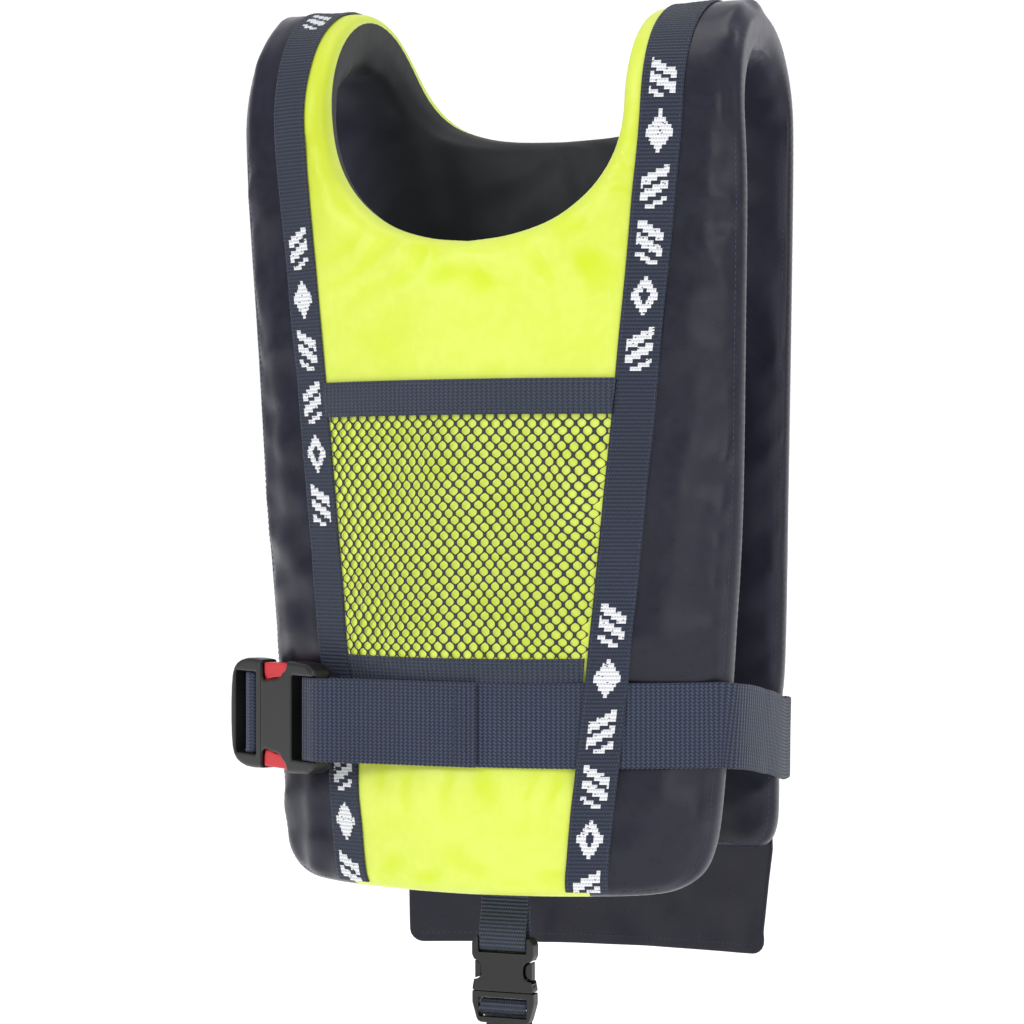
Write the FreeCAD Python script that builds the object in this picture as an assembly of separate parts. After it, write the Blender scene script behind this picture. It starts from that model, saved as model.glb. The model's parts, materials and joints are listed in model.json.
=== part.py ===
"""Foam life vest, pull-over type: two curved foam panels joined over the shoulders, webbing tapes, a mesh
front pocket, a waist belt with a side-release buckle and a crotch strap with a smaller buckle.
Millimetres. +Z is up, the front faces -Y, and the wearer's left is +X. The origin is in the torso opening,
on the vest's middle plane."""

import FreeCAD, Part
import math
import os

V = FreeCAD.Vector
os.makedirs("parts", exist_ok=True)

SIDES = ((1, "left"), (-1, "right"))          # sign of X on each side

# ---- panels ----
# Plan arcs of the front panel: radius, centre y, growth of the radius between Z_OPEN and Z_ARCH.
FRONT_OUTER = (230.0, 145.0, 170.0)
FRONT_MIDDLE = (256.5, 191.5, 263.5)          # where the two foam sheets meet
FRONT_INNER = (294.0, 249.0, 486.0)
# Plan arcs of the back panel: radius, centre y.
BACK_OUTER = (360.0, -235.0)
BACK_MIDDLE = (460.0, -355.0)
BACK_INNER = (640.0, -555.0)
BACK_TILT_DEG = 2.86                          # the back panel leans out towards its hem
BACK_TILT = math.radians(BACK_TILT_DEG)
BACK_PIVOT_Y = 105.0
ARC_HALF_SPAN = 190.0                         # the arcs are drawn from -X to +X this far
COVER = 1.3                                   # fabric cover and its padding
LINING_DEPTH = COVER + 0.3                    # the lining's share of the cover, from the inner face
GAP = 0.2
Z_LOW = -320.0                                # below every panel
Z_OPEN = -99.0                                # above this the front's arcs open out
Z_ARCH = 235.0                                # where the shoulder arch begins

# Half outlines in elevation, (x, z). Neck and arm edges start at the shoulder line;
# the hem carries on from the arm edge to the middle.
FRONT_NECK = [(95.0, 235.0), (93.5, 221.0), (88.0, 204.0), (75.5, 188.0), (53.0, 172.5),
              (27.0, 164.0), (0.0, 161.0)]
FRONT_ARM = [(161.0, 235.0), (161.5, 190.0), (159.5, 122.0), (155.0, 0.0), (149.5, -80.0),
             (144.5, -150.0), (141.2, -188.0), (136.5, -209.0), (125.0, -220.5), (106.0, -224.5)]
FRONT_HEM = [(50.0, -226.5), (0.0, -227.0)]
BACK_NECK = [(95.0, 235.0), (70.0, 233.0), (35.0, 231.0), (0.0, 230.5)]
BACK_ARM = [(160.5, 235.0), (159.5, 190.0), (156.5, 100.0), (152.8, 0.0), (148.6, -100.0),
            (144.4, -170.0), (142.0, -196.0), (137.5, -208.0), (127.0, -213.0)]
BACK_HEM = [(60.0, -214.0), (0.0, -214.0)]

# ---- shoulder arches ----
Z_TOP = 306.0                                 # top of the shoulder
ARCH_IN_H = 35.0                              # inner arch height above Z_ARCH
STRAP_IN_X, STRAP_OUT_X = 96.0, 159.5         # neck and arm edges of the shoulder strap
SPLIT_Y = 20.0                                # shoulder fold line
SPLIT_HALF_GAP = 0.6
ARCH_STEPS = 14                               # spline spans along each arch ellipse

# ---- vertical webbing tapes ----
TAPE_W, TAPE_T = 25.0, 1.5
TAPE_OFF = 2.2                                # from the cover to the tape
TAPE_ARCH_LIFT = 0.35                         # extra over the shoulder
FRONT_TAPE_LOW, FRONT_TAPE_STATIONS = -219.0, 20
BACK_TAPE_HIGH, BACK_TAPE_PITCH, BACK_TAPE_STATIONS = Z_ARCH - 12.0, 24.8, 18
FRONT_ARCH_DEGREES = (8, 16, 24, 33, 42, 52, 62, 72, 82, 90)
BACK_ARCH_DEGREES = (90, 98, 108, 118, 128, 138, 147, 156, 164, 172)

# ---- skirt under the back panel ----
SKIRT_LEFT, SKIRT_RIGHT = 136.5, -121.0
SKIRT_TAPER = 8.0                             # how far the left side runs in
SKIRT_TOP, SKIRT_BOTTOM = -214.8, -281.5
SKIRT_DROP = 6.0                              # the right corner hangs this much lower
SKIRT_CORNER, SKIRT_CORNER_MID = 9.0, 2.6     # corner cut: its legs and its middle point
SKIRT_OUT, SKIRT_IN = -3.0, -4.6              # faces, from the panel's outer arc

# ---- pocket ----
POCKET_TOP, POCKET_BOTTOM = 78.0, -98.5
POCKET_TOP_BAND, POCKET_BOTTOM_BAND = 21.0, 13.2
POCKET_MARGIN = 0.4                           # to the tape's edge

# ---- waist belt ----
BELT_W, BELT_T = 50.0, 1.8
BELT_Z_FRONT, BELT_Z_BACK = -124.5, -141.0
BELT_Z_SIDE = (BELT_Z_FRONT + BELT_Z_BACK) / 2
BUCKLE_ANGLE = 33.0                           # on the front arc, towards the wearer's right
# Front belt, in path order. Front arc points: degrees towards the left, distance off the cover.
BELT_OVER = [(3.0, 4.1), (-5.0, 4.1), (-12.0, 7.6), (-17.0, 13.5)]
BELT_UNDER = [(-16.0, 5.6), (-9.0, 2.3), (-3.0, 1.35), (5.0, 1.15), (12, 1.1), (19, 1.1),
              (26, 1.1), (32, 1.1), (36.5, 1.5), (39.3, 2.6)]
# Buckle points: along the buckle, outward.
BELT_TURN = [(-51.5, 15.5), (-42.0, 15.6), (-38.0, 15.9), (-35.8, 14.4), (-35.3, 10.0),
             (-35.8, 5.6), (-38.0, 4.0), (-42.0, 4.2), (-51.5, 4.3)]
BELT_ADJUSTER = [(51.5, 6.2), (42.0, 6.0), (38.2, 7.6), (37.0, 10.0), (36.0, 12.4),
                 (32.5, 13.4), (29.0, 12.4), (27.8, 10.0), (27.2, 7.6), (24.5, 5.2)]
# Left and right sides, front to back: x, y, height above BELT_Z_FRONT. Each ends at BELT_Z_SIDE.
BELT_LEFT = [(152.6, -28.6, -1.0), (155.6, -19.0, -2.0), (157.6, -4.0, -4.0), (158.6, 10.0, -6.5),
             (159.0, 23.0, BELT_Z_SIDE - BELT_Z_FRONT)]
BELT_RIGHT = [(-168.2, -21.5, -0.5), (-164.6, -12.0, -2.0), (-162.8, 4.0, -4.5),
              (-161.8, 24.0, BELT_Z_SIDE - BELT_Z_FRONT)]
# Back belt round the corners: x, y, height above BELT_Z_BACK.
BELT_BACK_LEFT_END = [(159.2, 26.0, BELT_Z_SIDE - BELT_Z_BACK), (158.2, 45.0, 4.0)]
BELT_BACK_CORNER = [(154.6, 70.0, 1.0), (152.6, 88.0, 0.0), (151.2, 97.9, 0.0), (147.2, 103.4, 0.0)]
BELT_BACK_RIGHT_END = [(-161.5, 45.0, 4.0), (-161.5, 27.0, BELT_Z_SIDE - BELT_Z_BACK)]
BELT_BACK_X = (138, 116, 90, 60, 30)          # stations on the back arc, then the middle
BELT_BACK_OFF = 1.1
BELT_LEAN_Y, BELT_LEAN_RUN = 30.0, 55.0       # where the belt starts to lean with the back

# ---- crotch strap ----
CROTCH_W, CROTCH_T = 30.0, 1.7
CROTCH_X, CROTCH_Y, CROTCH_Z = 10.0, -36.0, -255.5      # origin of its buckle
CROTCH_TAIL_Z = -400.0
# Strap paths: y and z from the buckle's origin.
CROTCH_ANCHOR = [(-6.8, 65.5), (-6.8, 50.5), (-6.3, 39.5), (-5.1, 33.0)]
CROTCH_UPPER = [(0.0, 29.5), (-1.0, 17.5), (-4.0, 3.0), (-4.1, -3.0), (-3.7, -6.4), (-1.9, -7.7),
                (0.0, -8.0), (1.9, -7.7), (3.7, -6.4), (4.1, -3.0), (4.0, 3.0), (3.4, 9.0),
                (2.6, 19.0)]
CROTCH_LOWER = [(1.2, -38.4), (-1.6, -39.3), (-3.3, -41.0), (-3.5, -43.0), (-1.8, -45.2),
                (1.6, -47.0), (6.4, -50.5), (6.2, -58.0), (3.0, -72.0), (1.0, -84.5),
                (0.0, CROTCH_TAIL_Z - CROTCH_Z)]

# ---- side-release buckles ----
# Drawn with X towards the male half, Y outward and Z across. Plans are (x, half width).
MOUTH_GAP = 0.3                               # between the female and male halves
LATCH_GAP = 0.4                               # round the latch arms
BELT_BUCKLE = dict(
    half_width=34.0, y=(3.0, 17.0), edge_r=2.0,
    female_plan=[(-50.0, 29.0), (-42.0, 33.0), (-24.0, 34.0), (0.0, 34.0), (13.0, 33.5)],
    corner_r=4.0, wall=2.0, rim=1.5, cavity_x=-20.0,
    slot_x=(-38.0, -24.0), slot_half=25.6, bar_drop=2.6,
    window_x=(-15.0, 9.5), window_depth=11.5,
    male_plan=[(13.3, 33.5), (24.0, 34.0), (33.0, 33.8), (39.5, 32.5), (44.5, 30.6), (48.0, 27.6),
               (50.3, 23.0), (51.5, 15.0), (52.0, 5.0)],
    male_inset=1.0, male_corner_r=1.5, male_window_x=(20.0, 46.0), end_cut_y=8.0,
    crossbar_x=(30.0, 35.0), crossbar_t=4.0,
    tongue_x=-17.0, tongue_t=5.0, tongue_half=11.0,
    arm_x=-13.5, arm_z=(19.5, 25.5),
)
CROTCH_BUCKLE = dict(
    half_width=20.0, y=(-5.0, 5.0), edge_r=1.2,
    female_plan=[(0.0, 17.5), (4.0, 20.0), (11.0, 20.0), (14.0, 18.6), (26.0, 18.6), (33.0, 20.0)],
    corner_r=1.6, wall=1.5, rim=1.2, cavity_x=12.0,
    slot_x=(5.0, 9.5), slot_half=15.6, bar_drop=2.1,
    window_x=(14.0, 26.0), window_depth=6.5,
    male_plan=[(33.3, 20.0), (40.0, 20.0), (52.0, 16.5)],
    male_inset=0.6, male_corner_r=4.0, male_window_x=(36.5, 48.5), end_cut_y=-0.8,
    crossbar_x=(40.5, 43.5), crossbar_t=2.6,
    tongue_x=14.5, tongue_t=3.4, tongue_half=5.5,
    arm_x=14.8, arm_z=(9.6, 14.5),
)


def save(name, *shapes):
    """Writes the solids of the shapes as one piece, leaving out slivers."""
    kept = [solid for shape in shapes for solid in shape.Solids if solid.Volume > 2.0]
    if not kept:
        raise SystemExit("no solid in " + name)
    piece = kept[0] if len(kept) == 1 else Part.makeCompound(kept)
    piece.exportStep("parts/" + name + ".step")


# ---- basic shapes ----
def even_steps(start, end, count):
    return [start + (end - start) * i / count for i in range(count + 1)]


def spline(points, **options):
    curve = Part.BSplineCurve()
    curve.interpolate(points, **options)
    return curve.toShape()


def box(x0, x1, y0, y1, z0, z1):
    """Box between two bounds on each axis; the X and Z bounds may come in either order."""
    return Part.makeBox(abs(x1 - x0), y1 - y0, abs(z1 - z0), V(min(x0, x1), y0, min(z0, z1)))


def prism_y(wire, y0=-300.0, y1=300.0):
    face = Part.Face(wire)
    face.translate(V(0, y0, 0))
    return face.extrude(V(0, y1 - y0, 0))


def polygon_prism(points, *y_range):
    corners = [V(x, 0, z) for x, z in points]
    return prism_y(Part.makePolygon(corners + corners[:1]), *y_range)


# ---- plan arcs and the bands between them ----
def outward(arc, distance):
    """The arc moved away from the body."""
    return (arc[0] + distance,) + arc[1:]


def front_y(x, z, arc=FRONT_OUTER):
    """Front arc at height z: a plain arc up to Z_OPEN, then opening out steadily."""
    radius, centre, growth = arc
    share = max(0.0, (z - Z_OPEN) / (Z_ARCH - Z_OPEN))
    plain = centre - math.sqrt(radius * radius - x * x)
    opened = centre + growth - math.sqrt((radius + growth) ** 2 - x * x)
    return plain * (1 - share) + opened * share


def front_band(outer, inner, z0, z1):
    """Space between two front arcs."""
    xs = even_steps(-ARC_HALF_SPAN, ARC_HALF_SPAN, 24)
    knots = [x + ARC_HALF_SPAN for x in xs]
    wires = []
    for z in (Z_LOW - 1.0, Z_OPEN, Z_ARCH + 15.0):
        there = [V(x, front_y(x, z, outer), z) for x in xs]
        back = [V(x, front_y(x, z, inner), z) for x in reversed(xs)]
        wires.append(Part.Wire([
            spline(there, Parameters=knots), Part.makeLine(there[-1], back[0]),
            spline(back, Parameters=knots), Part.makeLine(back[-1], there[0]),
        ]))
    solid = Part.makeLoft(wires, True, True)
    return solid.common(box(-300, 300, -300, 300, z0, z1))


def back_y(x, arc):
    radius, centre = arc
    return centre + math.sqrt(radius * radius - x * x)


def back_band(outer, inner, z0, z1):
    """Space between two back arcs, upright."""
    xs = (-ARC_HALF_SPAN, 0, ARC_HALF_SPAN)
    a = [V(x, back_y(x, outer), 0) for x in xs]
    b = [V(x, back_y(x, inner), 0) for x in xs]
    face = Part.Face(Part.Wire([
        Part.Arc(*a).toShape(), Part.makeLine(a[2], b[2]),
        Part.Arc(b[2], b[1], b[0]).toShape(), Part.makeLine(b[0], a[0]),
    ]))
    face.translate(V(0, 0, z0))
    return face.extrude(V(0, 0, z1 - z0))


def back_tilt(shape):
    tilted = shape.copy()
    tilted.rotate(V(0, BACK_PIVOT_Y, 0), V(1, 0, 0), BACK_TILT_DEG)
    return tilted


def tape_x(z):
    """Centre line of the vertical tapes: they run together towards the hem."""
    return 96.5 + 0.1 * z


def tape_region(offset, z_top, z_bottom, side=0):
    """Prism between the tape lines, or beyond one of them, with the lines moved out by offset."""
    top, bottom = tape_x(z_top) + offset, tape_x(z_bottom) + offset
    if side == 0:
        return polygon_prism([(-top, z_top), (top, z_top), (bottom, z_bottom), (-bottom, z_bottom)])
    return polygon_prism([(side * top, z_top), (side * 260, z_top),
                          (side * 260, z_bottom), (side * bottom, z_bottom)])


# ---- panels ----
def inset_edge(points, distance):
    """Half outline moved to its right, its ends kept on the shoulder line and the middle plane."""
    moved = []
    for i, (x, z) in enumerate(points):
        x0, z0 = points[max(i - 1, 0)]
        x1, z1 = points[min(i + 1, len(points) - 1)]
        dx, dz = x1 - x0, z1 - z0
        length = math.hypot(dx, dz)
        moved.append((x + distance * dz / length, z - distance * dx / length))
    moved[0] = (moved[0][0], Z_ARCH)
    moved[-1] = (0.0, moved[-1][1])
    return moved


def outline_prism(outline, distance):
    """Prism on a panel's elevation, moved in everywhere but along the shoulder line."""
    neck_half, arm_half, hem_half = outline
    neck = inset_edge(neck_half, -distance)   # material is outside the neck curve
    edge = inset_edge(arm_half + hem_half, distance)
    count = len(arm_half)

    def mirrored(points):
        return [(-x, z) for x, z in reversed(points)]

    def curve(points):
        return spline([V(x, 0, z) for x, z in points])

    arm, hem = edge[:count], edge[count - 1:]
    neck_x, arm_x = neck[0][0], edge[0][0]
    edges = [
        curve(neck + mirrored(neck)[1:]),
        Part.makeLine(V(-neck_x, 0, Z_ARCH), V(-arm_x, 0, Z_ARCH)),
        curve(mirrored(arm)[::-1]),
        curve((hem + mirrored(hem)[1:])[::-1]),
        curve(arm[::-1]),
        Part.makeLine(V(arm_x, 0, Z_ARCH), V(neck_x, 0, Z_ARCH)),
    ]
    return prism_y(Part.Wire(Part.__sortEdges__(edges)))


def panel(band, arcs, outline):
    """Cover pieces and two foam sheets of one panel."""
    outer, middle, inner = arcs
    whole = outline_prism(outline, 0.0)
    hollow = outline_prism(outline, COVER)
    core = outline_prism(outline, COVER + GAP)
    envelope = band(outer, inner, Z_LOW, Z_ARCH).common(whole)
    cavity = band(outward(outer, -COVER), outward(inner, COVER), Z_LOW, Z_ARCH + 10).common(hollow)
    shell = envelope.cut(cavity)
    behind = outward(inner, -8)
    foam_inner_face = outward(inner, LINING_DEPTH + GAP)
    lining = shell.common(band(outward(inner, LINING_DEPTH), behind, Z_LOW, Z_ARCH))
    cover = shell.cut(band(foam_inner_face, behind, Z_LOW, Z_ARCH))
    foam_top = Z_ARCH - GAP
    return dict(
        lining=lining,
        centre_cover=cover.common(tape_region(-GAP / 2, Z_ARCH, Z_LOW)),
        side_cover_left=cover.common(tape_region(GAP / 2, Z_ARCH, Z_LOW, 1)),
        side_cover_right=cover.common(tape_region(GAP / 2, Z_ARCH, Z_LOW, -1)),
        foam_outer=band(outward(outer, -COVER - GAP), outward(middle, GAP),
                        Z_LOW, foam_top).common(core),
        foam_inner=band(outward(middle, -GAP), foam_inner_face, Z_LOW, foam_top).common(core),
    )


# ---- shoulder arches ----
def arch_spans(x):
    """Centre y and half depth of the outer arch at x, then of the inner one."""
    lean = -Z_ARCH * math.sin(BACK_TILT)
    spans = []
    for front_arc, back_arc in ((FRONT_OUTER, BACK_OUTER), (FRONT_INNER, BACK_INNER)):
        y_front = front_y(x, Z_ARCH, front_arc)
        y_back = back_y(x, back_arc) + lean
        spans += [(y_front + y_back) / 2, (y_back - y_front) / 2]
    return spans


def ellipse_point(x, centre, depth, height, z_base, angle):
    """Point on a half ellipse in the YZ plane; the angle runs from front to back."""
    return V(x, centre - depth * math.cos(angle), z_base + height * math.sin(angle))


def ellipse_points(*ellipse):
    return [ellipse_point(*ellipse, math.pi * i / ARCH_STEPS) for i in range(ARCH_STEPS + 1)]


def arch_wire(x, inset):
    """Section of the shoulder arch at x, both ellipses moved in."""
    out_centre, out_depth, in_centre, in_depth = arch_spans(x)
    z_base = Z_ARCH + GAP
    over = ellipse_points(x, out_centre, out_depth - inset, Z_TOP - Z_ARCH - inset, z_base)
    under = ellipse_points(x, in_centre, in_depth + inset, ARCH_IN_H + inset, z_base)
    return Part.Wire([spline(over), Part.makeLine(over[-1], under[-1]),
                      spline(under[::-1]), Part.makeLine(under[0], over[0])])


def arch_loft(side, inset):
    xs = even_steps(side * (STRAP_IN_X + inset), side * (STRAP_OUT_X - inset), 4)
    return Part.makeLoft([arch_wire(x, inset) for x in xs], True, False)


def arch_under(side, extra=0.0):
    """Solid filling the space under the inner arch, up to the lining's outer side."""
    wires = []
    depth = LINING_DEPTH + extra
    for x in even_steps(side * (STRAP_IN_X - 5), side * (STRAP_OUT_X + 5), 4):
        _, _, centre, half_depth = arch_spans(x)
        points = ellipse_points(x, centre, half_depth + depth, ARCH_IN_H + depth, Z_ARCH)
        points[0].z = points[-1].z = Z_ARCH - 1.0
        wires.append(Part.Wire([spline(points), Part.makeLine(points[-1], points[0])]))
    return Part.makeLoft(wires, True, False)


def arch(side):
    """Foam and cover pieces of one shoulder, before the split at the fold line."""
    skin = arch_loft(side, 0.0).cut(arch_loft(side, COVER))
    cover = skin.cut(arch_under(side, GAP))
    seam = tape_x(Z_ARCH)

    def between(x0, x1):
        return cover.common(box(side * x0, side * x1, -350, 350, -350, 350))

    return dict(
        foam=arch_loft(side, COVER + GAP),
        lining=skin.common(arch_under(side)),
        centre=between(60.0, seam - GAP / 2),
        side=between(seam + GAP / 2, 200.0),
    )


def front_half():
    return box(-300, 300, -300, SPLIT_Y - SPLIT_HALF_GAP, -350, 350)


def back_half():
    y0 = SPLIT_Y + SPLIT_HALF_GAP
    return box(-300, 300, y0, y0 + 300, -350, 350)


def build_body():
    front = panel(front_band, (FRONT_OUTER, FRONT_MIDDLE, FRONT_INNER),
                  (FRONT_NECK, FRONT_ARM, FRONT_HEM))
    back = panel(back_band, (BACK_OUTER, BACK_MIDDLE, BACK_INNER),
                 (BACK_NECK, BACK_ARM, BACK_HEM))
    back = {key: back_tilt(piece) for key, piece in back.items()}
    left, right = arch(1), arch(-1)
    for name, pieces, half in (("front", front, front_half()), ("back", back, back_half())):
        def both(key):
            return left[key].common(half), right[key].common(half)

        save(name + "_foam_outer", pieces["foam_outer"])
        save(name + "_foam_inner", pieces["foam_inner"])
        save(name + "_lining", pieces["lining"], *both("lining"))
        save(name + "_centre_cover", pieces["centre_cover"], *both("centre"))
        save(name + "_side_cover_left", pieces["side_cover_left"], left["side"].common(half))
        save(name + "_side_cover_right", pieces["side_cover_right"], right["side"].common(half))
        save("shoulder_foam_" + name, *both("foam"))


def build_skirt():
    """Unpadded sheet under the back panel, following the panel's outer arc."""
    left, right = SKIRT_LEFT - SKIRT_TAPER, SKIRT_RIGHT
    z_left, z_right = SKIRT_BOTTOM, SKIRT_BOTTOM - SKIRT_DROP
    corner, mid = SKIRT_CORNER, SKIRT_CORNER_MID
    outline = polygon_prism([
        (SKIRT_LEFT, SKIRT_TOP),
        (left, z_left + corner), (left - mid, z_left + mid), (left - corner, z_left),
        (right + corner, z_right), (right + mid, z_right + mid), (right, z_right + corner),
        (right, SKIRT_TOP),
    ])
    sheet = back_band(outward(BACK_OUTER, SKIRT_OUT), outward(BACK_OUTER, SKIRT_IN),
                      SKIRT_BOTTOM - 10, SKIRT_TOP + 10)
    save("back_skirt", back_tilt(sheet.common(outline)))


def pocket_piece(inner_off, outer_off, z_top, z_bottom):
    """Sheet between the tapes, its faces this far off the front cover."""
    sheet = front_band(outward(FRONT_OUTER, outer_off), outward(FRONT_OUTER, inner_off),
                       z_bottom, z_top)
    return sheet.common(tape_region(-TAPE_W / 2 - POCKET_MARGIN, z_top, z_bottom))


def build_pocket():
    mesh_top = POCKET_TOP - POCKET_TOP_BAND
    mesh_bottom = POCKET_BOTTOM + POCKET_BOTTOM_BAND
    save("pocket_mesh", pocket_piece(2.0, 3.0, mesh_top - GAP, mesh_bottom + GAP))
    save("pocket_top_band", pocket_piece(1.6, 3.2, POCKET_TOP, mesh_top))
    save("pocket_bottom_band", pocket_piece(0.4, 1.9, mesh_bottom, POCKET_BOTTOM))


# ---- ribbons ----
def ribbon(stations, width, thick):
    """Flat strap through stations of (point, outward normal, width direction)."""
    wires = []
    for point, normal, across in stations:
        half_w, half_t = across * (width / 2), normal * (thick / 2)
        corners = [point + half_w - half_t, point + half_w + half_t,
                   point - half_w + half_t, point - half_w - half_t]
        wires.append(Part.makePolygon(corners + corners[:1]))
    return Part.makeLoft(wires, True, True)


def resample(path, step):
    """Catmull-Rom through path, sampled about every step."""
    knots = [path[0] * 2 - path[1]] + list(path) + [path[-1] * 2 - path[-2]]
    samples = []
    for i in range(1, len(knots) - 2):
        p0, p1, p2, p3 = knots[i - 1:i + 3]
        count = max(1, int((p2 - p1).Length / step))
        for j in range(count):
            t = j / float(count)
            samples.append((p1 * 2 + (p2 - p0) * t + (p0 * 2 - p1 * 5 + p2 * 4 - p3) * t * t
                            + (p1 * 3 - p0 - p2 * 3 + p3) * t * t * t) * 0.5)
    samples.append(path[-1])
    return samples


def with_directions(path, step):
    """Resampled points, each with the vector between its neighbours."""
    points = resample(path, step)
    last = len(points) - 1
    return [(point, points[min(i + 1, last)] - points[max(i - 1, 0)])
            for i, point in enumerate(points)]


# ---- tapes: stations are worked out on the wearer's left, then mirrored ----
def front_tape_stations():
    stations = []
    pitch = (Z_ARCH - FRONT_TAPE_LOW) / FRONT_TAPE_STATIONS
    for i in range(FRONT_TAPE_STATIONS):
        z = FRONT_TAPE_LOW + pitch * i
        x = tape_x(z)
        slope_x = front_y(x + 0.5, z) - front_y(x - 0.5, z)
        slope_z = (front_y(x, z + 1.0) - front_y(x, z - 1.0)) / 2
        normal = V(slope_x, -1.0, slope_z).normalize()
        point = V(x, front_y(x, z), z) + normal * (TAPE_OFF + TAPE_T / 2)
        stations.append((point, normal, V(1.0, slope_x, 0.0).normalize()))
    return stations


def arch_surface(x, angle):
    centre, depth = arch_spans(x)[:2]
    return ellipse_point(x, centre, depth, Z_TOP - Z_ARCH, Z_ARCH + GAP, angle)


def arch_station(degrees):
    """Station above the arch's outer face, from the face's slopes along and across the tape."""
    x, angle = tape_x(Z_ARCH), math.radians(degrees)
    across = (arch_surface(x + 1, angle) - arch_surface(x - 1, angle)).normalize()
    along = (arch_surface(x, angle + 0.01) - arch_surface(x, angle - 0.01)).normalize()
    normal = along.cross(across).normalize()
    if normal.dot(V(0, -math.cos(angle), math.sin(angle))) < 0:
        normal = normal * -1.0
    point = arch_surface(x, angle) + normal * (TAPE_OFF + TAPE_T / 2 + TAPE_ARCH_LIFT)
    return point, normal, across


def back_tape_stations():
    """Stations down the back, leant with the panel."""
    stations = []
    tilt = FreeCAD.Rotation(V(1, 0, 0), BACK_TILT_DEG)
    pivot = V(0, BACK_PIVOT_Y, 0)
    arc_radius, centre = BACK_OUTER
    radius = arc_radius + TAPE_OFF + TAPE_T / 2
    for i in range(BACK_TAPE_STATIONS):
        z = BACK_TAPE_HIGH - BACK_TAPE_PITCH * i
        angle = math.asin(tape_x(z) / arc_radius)
        sin, cos = math.sin(angle), math.cos(angle)
        point = V(radius * sin, centre + radius * cos, z)
        stations.append((tilt.multVec(point - pivot) + pivot,
                         tilt.multVec(V(sin, cos, 0)), tilt.multVec(V(cos, -sin, 0))))
    return stations


def tape(stations, side, half):
    placed = [(V(side * p.x, p.y, p.z), V(side * n.x, n.y, n.z), V(w.x, side * w.y, side * w.z))
              for p, n, w in stations]
    return ribbon(placed, TAPE_W, TAPE_T).common(half)


def build_tapes():
    front = front_tape_stations() + [arch_station(d) for d in FRONT_ARCH_DEGREES]
    back = [arch_station(d) for d in BACK_ARCH_DEGREES] + back_tape_stations()
    for side, name in SIDES:
        save("front_webbing_" + name, tape(front, side, front_half()))
        save("back_webbing_" + name, tape(back, side, back_half()))


# ---- side-release buckles ----
def rise(edge):
    """Y distance between an edge's ends."""
    return abs(edge.Vertexes[0].Y - edge.Vertexes[-1].Y)


def soften(shape, radius, pick):
    """Fillets the picked edges, with a smaller radius if the full one does not fit."""
    edges = [edge for edge in shape.Edges if pick(edge)]
    for trial in (radius, radius * 0.6, radius * 0.3):
        # Guards against a radius the fillet cannot build; with none, the shape stays sharp.
        try:
            rounded = shape.makeFillet(trial, edges)
            if rounded.isValid() and rounded.Volume > 0:
                return rounded
        except Exception:
            pass
    return shape


def mirrored_plate(plan, y0, y1):
    return polygon_prism(plan + [(x, -z) for x, z in reversed(plan)], y0, y1)


def window_prism(size, side, margin, y0, y1):
    """Superellipse at the buckle's edge, drawn as one closed spline."""
    x0, x1 = size["window_x"]
    length, depth = (x1 - x0) / 2 - margin, size["window_depth"] - margin
    power = 2 / 2.8
    points = []
    for i in range(36):
        angle = 2 * math.pi * i / 36
        cos, sin = math.cos(angle), math.sin(angle)
        points.append(V((x0 + x1) / 2 + length * math.copysign(abs(cos) ** power, cos), 0,
                        side * size["half_width"]
                        + depth * math.copysign(abs(sin) ** power, sin)))
    return prism_y(Part.Wire([spline(points, PeriodicFlag=True)]), y0, y1)


def buckle_female(size):
    y0, y1 = size["y"]
    plan, wall, slot_half = size["female_plan"], size["wall"], size["slot_half"]
    slot0, slot1 = size["slot_x"]
    half_width = size["half_width"]
    inside = half_width - size["rim"]
    body = mirrored_plate(plan, y0, y1)
    body = soften(body, size["corner_r"], lambda e: rise(e) > (y1 - y0) * 0.9)
    body = soften(body, size["edge_r"], lambda e: rise(e) < 0.01)
    slot = box(slot0, slot1, y0 - 1, y1 + 1, -slot_half, slot_half)
    body = body.cut(soften(slot, 0.7, lambda e: rise(e) > 3))
    # thin the bar that the strap goes round, on its outer and inner faces
    bar0, bar1, drop = plan[0][0] - 5, slot0 + 0.5, size["bar_drop"]
    body = body.cut(box(bar0, bar1, y1 - drop, y1 + 1, -slot_half, slot_half))
    body = body.cut(box(bar0, bar1, y0 - 1, y0 + drop, -slot_half, slot_half))
    body = body.cut(box(size["cavity_x"], plan[-1][0] + 1, y0 + wall, y1 - wall, -inside, inside))
    for side in (1, -1):
        body = body.cut(window_prism(size, side, 0.0, y0 - 1, y1 + 1))
        body = body.cut(box(*size["window_x"], y0 - 1, y1 + 1,
                            side * (inside - 0.5), side * (half_width + 2)))
    return body


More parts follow.
